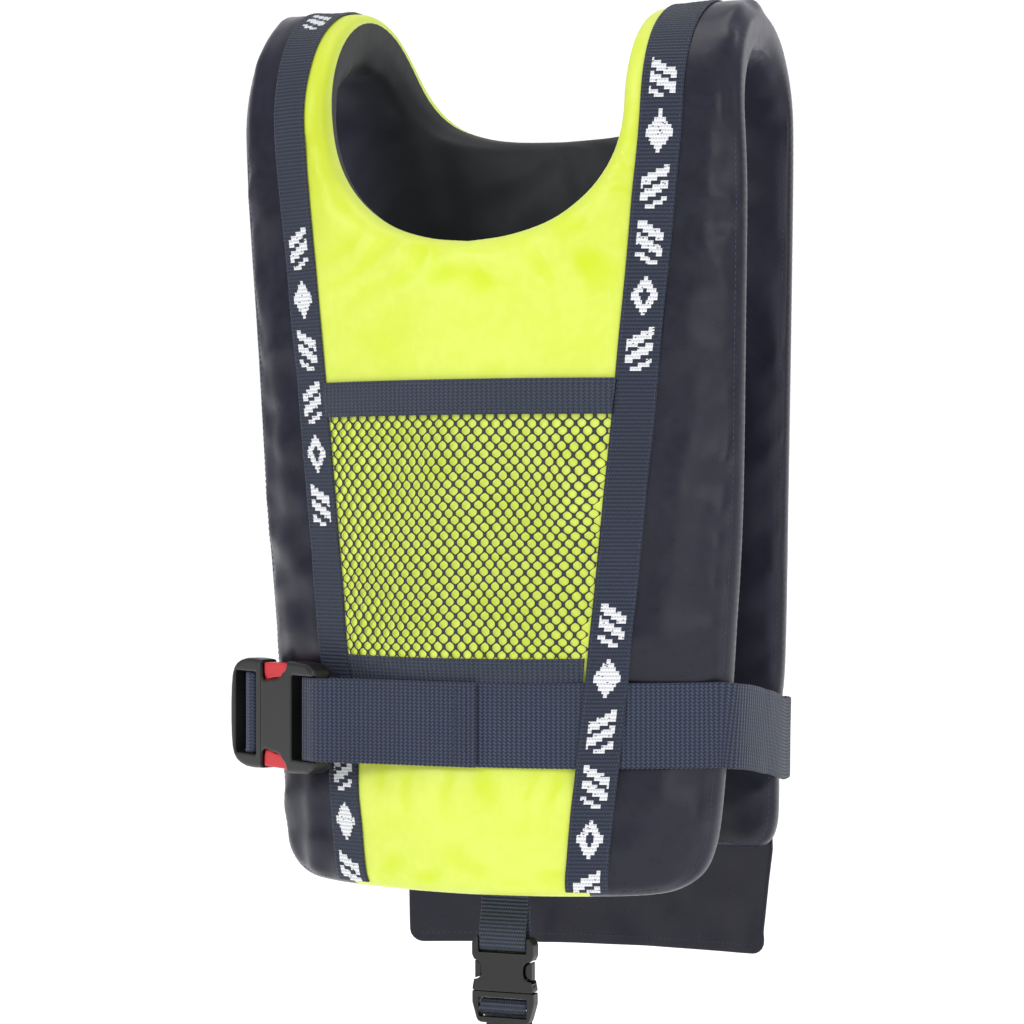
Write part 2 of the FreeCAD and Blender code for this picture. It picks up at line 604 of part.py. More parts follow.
def buckle_male(size):
    y0, y1 = size["y"]
    plan, inset, slot_half = size["male_plan"], size["male_inset"], size["slot_half"]
    mouth = size["female_plan"][-1][0]
    start = mouth + MOUTH_GAP
    win0, win1 = size["male_window_x"]
    male = mirrored_plate(plan, y0 + inset, y1 - inset)
    male = soften(male, size["male_corner_r"],
                  lambda e: rise(e) > (y1 - y0) * 0.5 and e.Vertexes[0].X > mouth + 5)
    male = soften(male, size["edge_r"],
                  lambda e: rise(e) < 0.01 and max(v.X for v in e.Vertexes) > start + 1)
    window = box(win0, win1, y0 - 1, y1 + 1, -slot_half, slot_half)
    male = male.cut(soften(window, 0.7, lambda e: rise(e) > 3))
    # thin the end bar from its inner face
    male = male.cut(box(win1 - 1.0, plan[-1][0] + 1, y0 - 1, size["end_cut_y"],
                        -slot_half, slot_half))
    y_mid = (y0 + y1) / 2
    half_t = size["crossbar_t"] / 2
    bar = box(*size["crossbar_x"], y_mid - half_t, y_mid + half_t, -(slot_half + 1), slot_half + 1)
    bar = soften(bar, 1.0, lambda e: abs(e.Vertexes[0].Z - e.Vertexes[-1].Z) > 10)
    male = male.fuse(bar)
    half_t = size["tongue_t"] / 2
    tongue = box(size["tongue_x"], start + 0.5, y_mid - half_t, y_mid + half_t,
                 -size["tongue_half"], size["tongue_half"])
    tongue = soften(tongue, 2.5, lambda e: rise(e) > 2 and e.Vertexes[0].X < start - 5)
    return male.fuse(tongue).removeSplitter()


def latch_arm(size, side):
    """Arm with the press tab that fills the window on one side."""
    y0 = size["y"][0] + size["wall"] + LATCH_GAP
    y1 = size["y"][1] - size["wall"] - LATCH_GAP
    arm_end = size["female_plan"][-1][0] + MOUTH_GAP - LATCH_GAP
    z_in, z_out = size["arm_z"]
    arm = box(size["arm_x"], arm_end, y0 + 1.2, y1 - 1.2, side * z_in, side * z_out)
    tab = window_prism(size, side, 0.6, y0, y1)
    tab_end = size["half_width"] - size["rim"] - LATCH_GAP
    tab = tab.common(box(*size["window_x"], y0 - 1, y1 + 1, side * 5, side * tab_end))
    return arm.fuse(tab).removeSplitter()


def save_buckle(size, place, names):
    """Names are for the female half, the male half and the arms at local +Z and -Z."""
    pieces = (buckle_female(size), buckle_male(size), latch_arm(size, 1), latch_arm(size, -1))
    for name, piece in zip(names, pieces):
        save(name, place(piece))


# ---- waist belt ----
def on_front(degrees, off):
    """Belt point on the front arc, off the cover."""
    angle = math.radians(degrees)
    radius = FRONT_OUTER[0] + off
    return V(radius * math.sin(angle), FRONT_OUTER[1] - radius * math.cos(angle), BELT_Z_FRONT)


def at_buckle(along, out):
    """Belt point in the buckle's frame."""
    angle = math.radians(180.0 - BUCKLE_ANGLE)
    sin, cos = math.sin(angle), math.cos(angle)
    return on_front(-BUCKLE_ANGLE, 0.0) + V(along * cos - out * sin, along * sin + out * cos, 0)


def belt_place(shape):
    placed = shape.copy()
    placed.rotate(V(0, 0, 0), V(0, 0, 1), 180.0 - BUCKLE_ANGLE)
    placed.translate(on_front(-BUCKLE_ANGLE, 0.0))
    return placed


def on_back(x):
    """Belt point on the leaning back arc."""
    arc_radius, centre = BACK_OUTER
    angle = math.asin(x / arc_radius)
    radius = arc_radius + BELT_BACK_OFF
    return V(radius * math.sin(angle),
             centre + radius * math.cos(angle) - BELT_Z_BACK * math.sin(BACK_TILT), BELT_Z_BACK)


def at_height(points, z_base):
    return [V(x, y, z_base + height) for x, y, height in points]


def belt_ribbon(path, step, facing=1.0, lean=None):
    """Belt on edge: its width is along Z, or leans by a function of Y; its path runs in plan."""
    stations = []
    for point, chord in with_directions(path, step):
        along = V(chord.x, chord.y, 0).normalize()
        normal, across = V(along.y, -along.x, 0) * facing, V(0, 0, 1)
        if lean:
            across = V(0, -lean(point.y), 1).normalize()
            normal = (normal - across * normal.dot(across)).normalize()
        stations.append((point, normal, across))
    return ribbon(stations, BELT_W, BELT_T)


def back_lean(y):
    """Slope of the belt: upright at the sides, the panel's own tilt at the back."""
    return math.tan(BACK_TILT) * min(1.0, max(0.0, (y - BELT_LEAN_Y) / BELT_LEAN_RUN))


def build_belt():
    # the front belt's end is folded round the buckle's bar
    front = ([on_front(*p) for p in BELT_OVER] + [at_buckle(*p) for p in BELT_TURN]
             + [on_front(*p) for p in BELT_UNDER] + at_height(BELT_LEFT, BELT_Z_FRONT))
    save("belt_front", belt_ribbon(front, 5.0))

    corner = at_height(BELT_BACK_CORNER, BELT_Z_BACK) + [on_back(x) for x in BELT_BACK_X]
    back = (at_height(BELT_BACK_LEFT_END, BELT_Z_BACK) + corner + [on_back(0)]
            + [V(-p.x, p.y, p.z) for p in reversed(corner)]
            + at_height(BELT_BACK_RIGHT_END, BELT_Z_BACK))
    save("belt_back", belt_ribbon(back, 9.0, -1.0, back_lean))
    save("belt_side_strap_right", belt_ribbon(at_height(BELT_RIGHT, BELT_Z_FRONT), 6.0))
    save("belt_adjuster_loop", belt_ribbon([at_buckle(*p) for p in BELT_ADJUSTER], 2.5))
    save_buckle(BELT_BUCKLE, belt_place,
                ("buckle_female", "buckle_male", "release_tab_upper", "release_tab_lower"))


# ---- crotch strap ----
def crotch_place(shape):
    """Buckle X goes down, Y goes to the front."""
    placed = shape.copy()
    placed.transformShape(FreeCAD.Matrix(0, 0, -1, CROTCH_X, 0, -1, 0, CROTCH_Y,
                                         -1, 0, 0, CROTCH_Z, 0, 0, 0, 1))
    return placed


def crotch_ribbon(table, step):
    """Strap with its width along X."""
    path = [V(CROTCH_X, CROTCH_Y + y, CROTCH_Z + z) for y, z in table]
    stations = []
    for point, chord in with_directions(path, step):
        along = chord.normalize()
        stations.append((point, V(0, along.z, -along.y), V(1, 0, 0)))
    return ribbon(stations, CROTCH_W, CROTCH_T)


def build_crotch():
    save_buckle(CROTCH_BUCKLE, crotch_place, ("crotch_buckle_female", "crotch_buckle_male",
                                              "crotch_prong_right", "crotch_prong_left"))
    save("crotch_strap_anchor", crotch_ribbon(CROTCH_ANCHOR, 4.0))
    save("crotch_strap_upper", crotch_ribbon(CROTCH_UPPER, 1.5))
    save("crotch_strap_lower", crotch_ribbon(CROTCH_LOWER, 2.5))


build_body()
build_tapes()
build_skirt()
build_pocket()
build_belt()
build_crotch()
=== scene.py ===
import json
import math
import random

import bmesh
import bpy
import numpy as np
from mathutils import Matrix, Vector, geometry
from mathutils.bvhtree import BVHTree

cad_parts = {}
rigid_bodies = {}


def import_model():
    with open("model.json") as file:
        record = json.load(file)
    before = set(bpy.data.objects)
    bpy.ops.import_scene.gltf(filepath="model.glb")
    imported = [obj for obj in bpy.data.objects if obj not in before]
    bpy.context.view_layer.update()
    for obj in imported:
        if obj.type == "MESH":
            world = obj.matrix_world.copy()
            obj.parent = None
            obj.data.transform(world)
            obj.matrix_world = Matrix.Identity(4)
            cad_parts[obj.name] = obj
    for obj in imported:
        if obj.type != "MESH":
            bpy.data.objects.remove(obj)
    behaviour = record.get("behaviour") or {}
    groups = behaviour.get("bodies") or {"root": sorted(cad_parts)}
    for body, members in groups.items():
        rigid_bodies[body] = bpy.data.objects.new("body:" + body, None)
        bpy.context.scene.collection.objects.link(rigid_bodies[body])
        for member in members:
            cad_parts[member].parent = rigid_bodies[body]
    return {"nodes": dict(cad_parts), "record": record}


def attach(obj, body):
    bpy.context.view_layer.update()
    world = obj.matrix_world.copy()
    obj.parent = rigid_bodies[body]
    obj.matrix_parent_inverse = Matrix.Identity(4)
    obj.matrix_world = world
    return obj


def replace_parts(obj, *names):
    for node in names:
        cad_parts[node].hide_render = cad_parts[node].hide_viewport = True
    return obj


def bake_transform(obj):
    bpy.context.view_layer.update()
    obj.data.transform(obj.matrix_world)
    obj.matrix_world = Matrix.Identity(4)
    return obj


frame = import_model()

for o in list(bpy.data.objects):
    if o.name in ("Cube", "Light", "Camera"):
        bpy.data.objects.remove(o)
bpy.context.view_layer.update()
random.seed(7)
rng = np.random.default_rng(7)
scene = bpy.context.scene
MM = 0.001

# ------------------------------------------------------------------ sheet of the vest: x across, l along the body
FRO, FCO, FRI, FCI = 230.0, 145.0, 294.0, 249.0
BRO, BCO, BRI, BCI = 360.7, -235.7, 641.7, -556.7
TILT, PIVOT_Y = math.radians(2.86), 105.0
ZA, ZTOP, INH, LA = 235.0, 71.0, 35.0, 168.0
L_BACK0 = ZA + LA


def lb(z):
    """Sheet coordinate of the back at height z."""
    return L_BACK0 + (ZA - z)


def tape_x(l):
    """Tape's centre line in the sheet."""
    l = np.asarray(l, float)
    front = 96.5 + 0.1 * l
    top = 96.5 + 0.1 * ZA + 0 * l
    back = 96.5 + 0.1 * (ZA - (l - L_BACK0))
    return np.where(l < ZA, front, np.where(l < L_BACK0, top, back))


Z_OPEN = -99.0


def front_arc(x, z, r, cy, grow):
    """Front arc at height z: plain up to Z_OPEN, then opening out towards the shoulder."""
    t = np.clip((np.minimum(z, ZA) - Z_OPEN) / (ZA - Z_OPEN), 0, 1)
    a = cy - np.sqrt(r * r - x * x)
    b = cy + grow - np.sqrt((r + grow) ** 2 - x * x)
    return a * (1 - t) + b * t


def faces_yz(x, z):
    lean = -ZA * math.sin(TILT)
    yfo = front_arc(x, z, FRO, FCO, 170.0)
    yfi = front_arc(x, z, FRI, FCI, 486.0)
    ybo = BCO + np.sqrt(BRO ** 2 - x * x) + lean
    ybi = BCI + np.sqrt(BRI ** 2 - x * x) + lean
    return yfo, yfi, ybi, ybo


def place(x, l, s, f=1.0, puff=0.0):
    """Point of the panel: s = +1 on the outer face and -1 on the inner; f thins it; puff pushes the outer face out."""
    x, l, s, f, puff = np.broadcast_arrays(*[np.asarray(a, float) for a in (x, l, s, f, puff)])
    yfo, yfi, ybi, ybo = faces_yz(x, l)
    phi = np.clip((l - ZA) / LA, 0, 1) * math.pi
    down = np.maximum(l - L_BACK0, 0)
    zf = np.minimum(l, ZA)

    def curve(c, a, b):
        y = c - a * np.cos(phi)
        z = ZA + b * np.sin(phi)
        z = np.where(l < ZA, zf, z)
        z = np.where(l > L_BACK0, ZA - down * math.cos(TILT), z)
        y = np.where(l > L_BACK0, y + down * math.sin(TILT), y)
        return y, z

    yo, zo = curve((yfo + ybo) / 2, (ybo - yfo) / 2, ZTOP)
    yi, zi = curve((yfi + ybi) / 2, (ybi - yfi) / 2, INH)
    # the wearer's right strap stands a little higher
    rise = 9.0 * np.sin(phi) * np.clip((-x - 45.0) / 45.0, 0, 1)
    zo, zi = zo + rise, zi + rise
    my, mz, hy, hz = (yo + yi) / 2, (zo + zi) / 2, (yo - yi) / 2, (zo - zi) / 2
    # over the shoulder the neck edge lies nearer the outer face
    lean_out = 0.72 * np.sin(phi) * np.clip((126.0 - np.abs(x)) / 10.0, 0, 1) * (1 - np.minimum(f, 1.0))
    y = my + (s * f + lean_out) * hy
    z = mz + (s * f + lean_out) * hz
    n = np.sqrt(hy * hy + hz * hz)
    y = y + s * puff * hy / n
    z = z + s * puff * hz / n
    return np.stack([x, y, z], -1)


def catmull(points, step=5.0):
    p = [np.array(q, float) for q in points]
    p = [2 * p[0] - p[1]] + p + [2 * p[-1] - p[-2]]
    out = []
    for i in range(1, len(p) - 2):
        p0, p1, p2, p3 = p[i - 1:i + 3]
        k = max(1, int(round(np.linalg.norm(p2 - p1) / step)))
        for j in range(k):
            t = j / k
            out.append(0.5 * (2 * p1 + (p2 - p0) * t + (2 * p0 - 5 * p1 + 4 * p2 - p3) * t ** 2 + (3 * p1 - p0 - 3 * p2 + p3) * t ** 3))
    out.append(p[-2])
    return np.array(out)


def even(points, step, closed=True):
    p = np.array(points, float)
    if closed:
        p = np.vstack([p, p[:1]])
    seg = np.linalg.norm(np.diff(p, axis=0), axis=1)
    s = np.concatenate([[0], np.cumsum(seg)])
    n = max(3, int(round(s[-1] / step)))
    t = np.linspace(0, s[-1], n + 1)
    q = np.stack([np.interp(t, s, p[:, 0]), np.interp(t, s, p[:, 1])], 1)
    return q[:-1] if closed else q


FRONT_ARM = [(60, -226.3), (106, -225), (123, -221), (134, -212), (139.5, -197), (142, -180), (144.5, -150), (149.5, -80), (155, 0), (159.5, 122), (161.8, 190), (161.5, 235)]
ARCH_ARM = [(160.5, ZA + 40), (160, ZA + 84), (160, ZA + 125)]
BACK_ARM = [(160.5, lb(235)), (159.5, lb(190)), (156.5, lb(100)), (152.8, lb(0)), (148.6, lb(-100)), (143.2, lb(-128)), (142.2, lb(-142)), (143.4, lb(-168)), (142, lb(-195)), (136.5, lb(-208)), (124, lb(-212.5)), (60, lb(-213.5))]
right = catmull([(0, -226.8)] + FRONT_ARM + ARCH_ARM + BACK_ARM + [(0, lb(-213.5))])
OUTER = even(np.vstack([right, (right * [-1, 1])[::-1][1:-1]]), 5.0)
neck_r = catmull([(0, 161), (27, 164), (53, 172.5), (74, 188), (87, 206), (93.5, 226), (95.5, 250), (96.5, ZA + 60), (97, ZA + 95),
                  (95.5, ZA + 124), (90, ZA + 141), (78, ZA + 152), (60, ZA + 158.5), (35, ZA + 162.5), (0, ZA + 164)])
NECK = even(np.vstack([neck_r, (neck_r * [-1, 1])[::-1][1:-1]]), 5.0)


def inside(pts, loop):
    """Even-odd test, vectorised over the points."""
    x, y = pts[:, 0], pts[:, 1]
    c = np.zeros(len(pts), bool)
    a, b = loop, np.roll(loop, -1, 0)
    for (x1, y1), (x2, y2) in zip(a, b):
        hit = (y1 > y) != (y2 > y)
        if abs(y2 - y1) > 1e-12:
            c ^= hit & (x < (x2 - x1) * (y - y1) / (y2 - y1) + x1)
    return c


def loop_distance(pts, loop):
    a, b = loop, np.roll(loop, -1, 0)
    best = np.full(len(pts), 1e9)
    for p, q in zip(a, b):
        d = q - p
        t = np.clip(((pts - p) @ d) / (d @ d), 0, 1)
        best = np.minimum(best, np.linalg.norm(pts - (p + t[:, None] * d), axis=1))
    return best


def offset_loop(loop, d, step=5.0):
    """Moves a closed loop sideways by d, dropping the points that a bend folds over."""
    prev, nxt = np.roll(loop, 1, 0), np.roll(loop, -1, 0)
    t = nxt - prev
    t /= np.linalg.norm(t, axis=1)[:, None]
    q = loop + d * np.stack([-t[:, 1], t[:, 0]], 1)
    keep = loop_distance(q, loop) > abs(d) * 0.985
    return even(q[keep], step)


area = 0.5 * np.sum(OUTER[:, 0] * np.roll(OUTER[:, 1], -1) - np.roll(OUTER[:, 0], -1) * OUTER[:, 1])
so = 1.0 if area > 0 else -1.0
area_n = 0.5 * np.sum(NECK[:, 0] * np.roll(NECK[:, 1], -1) - np.roll(NECK[:, 0], -1) * NECK[:, 1])
sn = -1.0 if area_n > 0 else 1.0
RINGS = [1.0, 3.0, 6.0, 10.0, 15.0]
H = 5.0
SEAM_RING = 3.0


def domain():
    loops = [(OUTER, 0.0), (NECK, 0.0)]
    for d in RINGS:
        loops.append((offset_loop(OUTER, so * d), d))
        loops.append((offset_loop(NECK, sn * d), d))
    xs = np.arange(-165, 165.1, H)
    ls = np.arange(-230, lb(-222), H * math.sqrt(3) / 2)
    grid = np.array([(x + (H / 2 if j % 2 else 0), l) for j, l in enumerate(ls) for x in xs])
    grid = grid[inside(grid, OUTER) & ~inside(grid, NECK)]
    dist = np.minimum(loop_distance(grid, OUTER), loop_distance(grid, NECK))
    grid = grid[dist > RINGS[-1] + 0.62 * H]
    pts, edges, ring = [], [], []
    for loop, d in loops:
        k = len(pts)
        n = len(loop)
        pts += [tuple(p) for p in loop]
        ring += [d] * n
        edges += [(k + i, k + (i + 1) % n) for i in range(n)]
    pts += [tuple(p) for p in grid]
    ring += [-1.0] * len(grid)
    out = geometry.delaunay_2d_cdt([Vector(p) for p in pts], edges, [], 0, 1e-4, True)
    v = np.array([(p.x, p.y) for p in out[0]])
    f = np.array([tuple(t) for t in out[2] if len(t) == 3])
    orig = out[3]
    vr = np.array([ring[o[0]] if o else -1.0 for o in orig])
    c = v[f].mean(1)
    ok = inside(c, OUTER) & ~inside(c, NECK)
    f = f[ok]
    used = np.unique(f)
    remap = -np.ones(len(v), int)
    remap[used] = np.arange(len(used))
    v, f, vr = v[used], remap[f], vr[used]
    a, b, c3 = v[f[:, 0]], v[f[:, 1]], v[f[:, 2]]
    cr = (b - a)[:, 0] * (c3 - a)[:, 1] - (b - a)[:, 1] * (c3 - a)[:, 0]
    f[cr < 0] = f[cr < 0][:, ::-1]
    d = np.minimum(loop_distance(v, OUTER), loop_distance(v, NECK))
    d[vr == 0.0] = 0.0
    return v, f, vr, d


DV, DF, DR, DD = domain()
print("sheet", len(DV), len(DF), "edge verts", int((DR == 0).sum()))


# ------------------------------------------------------------------ padded body
def profile(d, e=14.5, p=2.5):
    u = 1 - np.clip(d / e, 0, 1)
    return (1 - u ** p) ** (1 / p)


def smooth(a, b, x):
    t = np.clip((x - a) / (b - a), 0, 1)
    return t * t * (3 - 2 * t)


def back_z(l):
    return ZA - (l - L_BACK0)


def value_noise(p, scale, seed):
    """Smooth seeded noise at points p (n, 2 or 3), about -1 to 1."""
    r = np.random.default_rng(seed)
    k = 3 if p.shape[1] == 3 else 2
    out = np.zeros(len(p))
    for _ in range(10):
        d = r.normal(size=k)
        d /= np.linalg.norm(d)
        w = r.uniform(0.6, 1.5) * 2 * math.pi / scale
        out += np.sin(p @ d * w + r.uniform(0, 6.28))
    return out / 3.2


Z_BELT, Z_BELT_BACK = -124.5, -141.0
ax = np.abs(DV[:, 0])
tx = tape_x(DV[:, 1])
on_front, on_back = DV[:, 1] < ZA, DV[:, 1] > L_BACK0
bz = back_z(DV[:, 1])
near_tape = np.abs(ax - tx)


def rest_offset(v, d):
    """How far the panel's faces sit from the plain curve, in mm: outer and inner."""
    axx, l = np.abs(v[:, 0]), v[:, 1]
    t = tape_x(l)
    z = np.where(l < ZA, l, np.where(l > L_BACK0, back_z(l), 400.0))
    edge = smooth(0, 26, d)
    lane = np.exp(-((axx - t) / 15.0) ** 4) * smooth(2, 18, d)
    outer = -1.2 + 2.2 * edge - 1.8 * lane
    zb = np.where(l < ZA, Z_BELT, Z_BELT_BACK)
    cinch = np.exp(-np.abs((z - zb) / 31.0) ** 3.0)
    lip = np.exp(-((np.abs(z - zb) - 44.0) / 17.0) ** 2)
    outer = outer - 4.5 * cinch * edge + 1.4 * lip * edge
    inner = -1.0 + 1.5 * edge - 1.5 * cinch * edge
    w = value_noise(v, 95.0, 3) * 1.0 + value_noise(v, 42.0, 4) * 0.45
    side = smooth(0, 14, axx - t)
    calm = 1 - 0.75 * lane - 0.65 * cinch
    outer = outer + w * edge * calm * (0.55 + 0.85 * side)
    inner = inner + value_noise(v, 80.0, 5) * edge * 1.2
    # soft upright folds down the side panels
    fold = np.sin(axx / 7.5 + 1.1 * value_noise(v, 120.0, 6)) * smooth(-0.2, 0.9, value_noise(v, 130.0, 8))
    outer = outer + 1.1 * fold * side * edge * calm
    return outer, inner


def body_points(v, d, extra=None):
    f = profile(d)
    o, i = rest_offset(v, d)
    if extra is not None:
        o = o + extra
    return place(v[:, 0], v[:, 1], 1.0, f, o * f), place(v[:, 0], v[:, 1], -1.0, f, i * f)


PO, PI = body_points(DV, DD)
nb = DR != 0.0
inner_index = np.arange(len(DV))
inner_index[nb] = len(DV) + np.arange(nb.sum())
VERTS = np.vstack([PO, PI[nb]]) * MM
FACES = np.vstack([DF, inner_index[DF][:, ::-1]])
is_inner = np.repeat([False, True], len(DF))
DOM = np.vstack([DV, DV[nb]])
DOMD = np.concatenate([DD, DD[nb]])
DOMR = np.concatenate([DR, DR[nb]])
INNER_V = np.repeat([False, True], [len(DV), nb.sum()])
print("body", len(VERTS), len(FACES))


def mesh_object(name, verts, faces, smooth_shade=True):
    me = bpy.data.meshes.new(name)
    me.from_pydata([tuple(map(float, p)) for p in verts], [], [tuple(map(int, f)) for f in faces])
    me.update()
    if smooth_shade:
        me.shade_smooth()
    o = bpy.data.objects.new(name, me)
    scene.collection.objects.link(o)
    return o


def coords(me):
    co = np.zeros(len(me.vertices) * 3)
    me.vertices.foreach_get("co", co)
    return co.reshape(-1, 3)


def simulate(obj, weights, shrink, pressure, cap, frames=12, bending=0.02, smax=-0.16):
    """Blender's cloth on obj, held by weights; returns the moved points, each held within cap metres of its start."""
    rest = coords(obj.data)
    g = obj.vertex_groups.new(name="pin")
    for w in np.unique(np.round(weights, 2)):
        if w > 0:
            g.add([int(i) for i in np.where(np.round(weights, 2) == w)[0]], float(w), "REPLACE")
    gs = obj.vertex_groups.new(name="shrink")
    for w in np.unique(np.round(shrink, 1)):
        if w > 0:
            gs.add([int(i) for i in np.where(np.round(shrink, 1) == w)[0]], float(w), "REPLACE")
    m = obj.modifiers.new("Cloth", "CLOTH")
    s = m.settings
    s.quality = 5
    s.mass = 0.003
    s.tension_stiffness = s.compression_stiffness = 18
    s.shear_stiffness = 6
    s.bending_stiffness = bending
    s.tension_damping = s.compression_damping = s.shear_damping = 6
    s.air_damping = 3
    s.use_pressure = True
    s.uniform_pressure_force = pressure
    s.vertex_group_mass = "pin"
    s.pin_stiffness = 1.0
    s.vertex_group_shrink = "shrink"
    s.shrink_min = 0.0
    s.shrink_max = smax
    s.effector_weights.gravity = 0
    m.collision_settings.use_collision = False
    m.collision_settings.use_self_collision = False
    m.point_cache.frame_start, m.point_cache.frame_end = 1, frames
    for f in range(1, frames + 1):
        scene.frame_set(f)
    dep = bpy.context.evaluated_depsgraph_get()
    moved = coords(obj.evaluated_get(dep).to_mesh())
    obj.modifiers.clear()
    scene.frame_set(1)
    d = moved - rest
    n = np.linalg.norm(d, axis=1)
    n[n < 1e-9] = 1e-9
    k = cap * np.tanh(n / cap) / n
    print("sim", obj.name, "mean move", round(float(n.mean() * 1000), 2), "max", round(float(n.max() * 1000), 2))
    return rest + d * k[:, None]


body = mesh_object("body_sim", VERTS, FACES)
lane = np.abs(np.abs(DOM[:, 0]) - tape_x(DOM[:, 1]))
zz = np.where(DOM[:, 1] < ZA, DOM[:, 1], np.where(DOM[:, 1] > L_BACK0, back_z(DOM[:, 1]), 400.0))
zb = np.where(DOM[:, 1] < ZA, Z_BELT, Z_BELT_BACK)
pin = np.full(len(VERTS), 0.12)
outer_lane = ~INNER_V & (lane < 11.5)
pin[outer_lane] = 1.0
pin[~INNER_V & (np.abs(zz - zb) < 20)] = 0.85
pin[DOMR == SEAM_RING] = 1.0
pin[(DOMR == 0.0) | (DOMR == 1.0)] = 0.9
shr = np.full(len(VERTS), 0.5)
side_v = ~INNER_V & (np.abs(DOM[:, 0]) > tape_x(DOM[:, 1]))
shr[side_v] = 1.0
shr[INNER_V] = 0.4
shr[outer_lane] = 0.0
import time as _t
t0 = _t.time()
MOVED = simulate(body, pin, shr, 18.0, 0.007)
print("body sim seconds", round(_t.time() - t0, 1))


# ------------------------------------------------------------------ materials
def material(name):
    m = bpy.data.materials.new(name)
    m.use_nodes = True
    nt = m.node_tree
    for n in list(nt.nodes):
        nt.nodes.remove(n)
    out = nt.nodes.new("ShaderNodeOutputMaterial")
    bsdf = nt.nodes.new("ShaderNodeBsdfPrincipled")
    nt.links.new(bsdf.outputs[0], out.inputs[0])
    return m, nt, bsdf


def node(nt, kind, ins=None, **props):
    n = nt.nodes.new(kind)
    for k, v in props.items():
        setattr(n, k, v)
    for k, v in (ins or {}).items():
        if isinstance(v, bpy.types.NodeSocket):
            nt.links.new(v, n.inputs[k])
        else:
            n.inputs[k].default_value = v
    return n


def math_node(nt, op, a, b=None, c=None, clamp=False):
    ins = {0: a}
    if b is not None:
        ins[1] = b
    if c is not None:
        ins[2] = c
    return node(nt, "ShaderNodeMath", ins, operation=op, use_clamp=clamp).outputs[0]


def mix_colour(nt, fac, a, b, blend="MIX"):
    n = nt.nodes.new("ShaderNodeMix")
    n.data_type = "RGBA"
    n.blend_type = blend
    for k, v in ((0, fac), (6, a), (7, b)):
        if isinstance(v, bpy.types.NodeSocket):
            nt.links.new(v, n.inputs[k])
        else:
            n.inputs[k].default_value = v
    return n.outputs[2]


def noise_node(nt, vec, scale, detail=3.0, rough=0.5):
    return node(nt, "ShaderNodeTexNoise", {"Vector": vec, "Scale": scale, "Detail": detail, "Roughness": rough}).outputs["Fac"]


def wave(nt, x, pitch):
    """0 to 1 sine of x with the given pitch."""
    k = math_node(nt, "MULTIPLY", x, 2 * math.pi / pitch)
    return math_node(nt, "MULTIPLY_ADD", math_node(nt, "SINE", k), 0.5, 0.5)


def rgb(r, g, b):
    """sRGB 0-255 to linear."""
    f = lambda c: (c / 255 / 12.92) if c / 255 <= 0.04045 else ((c / 255 + 0.055) / 1.055) ** 2.4
    return (f(r), f(g), f(b), 1.0)


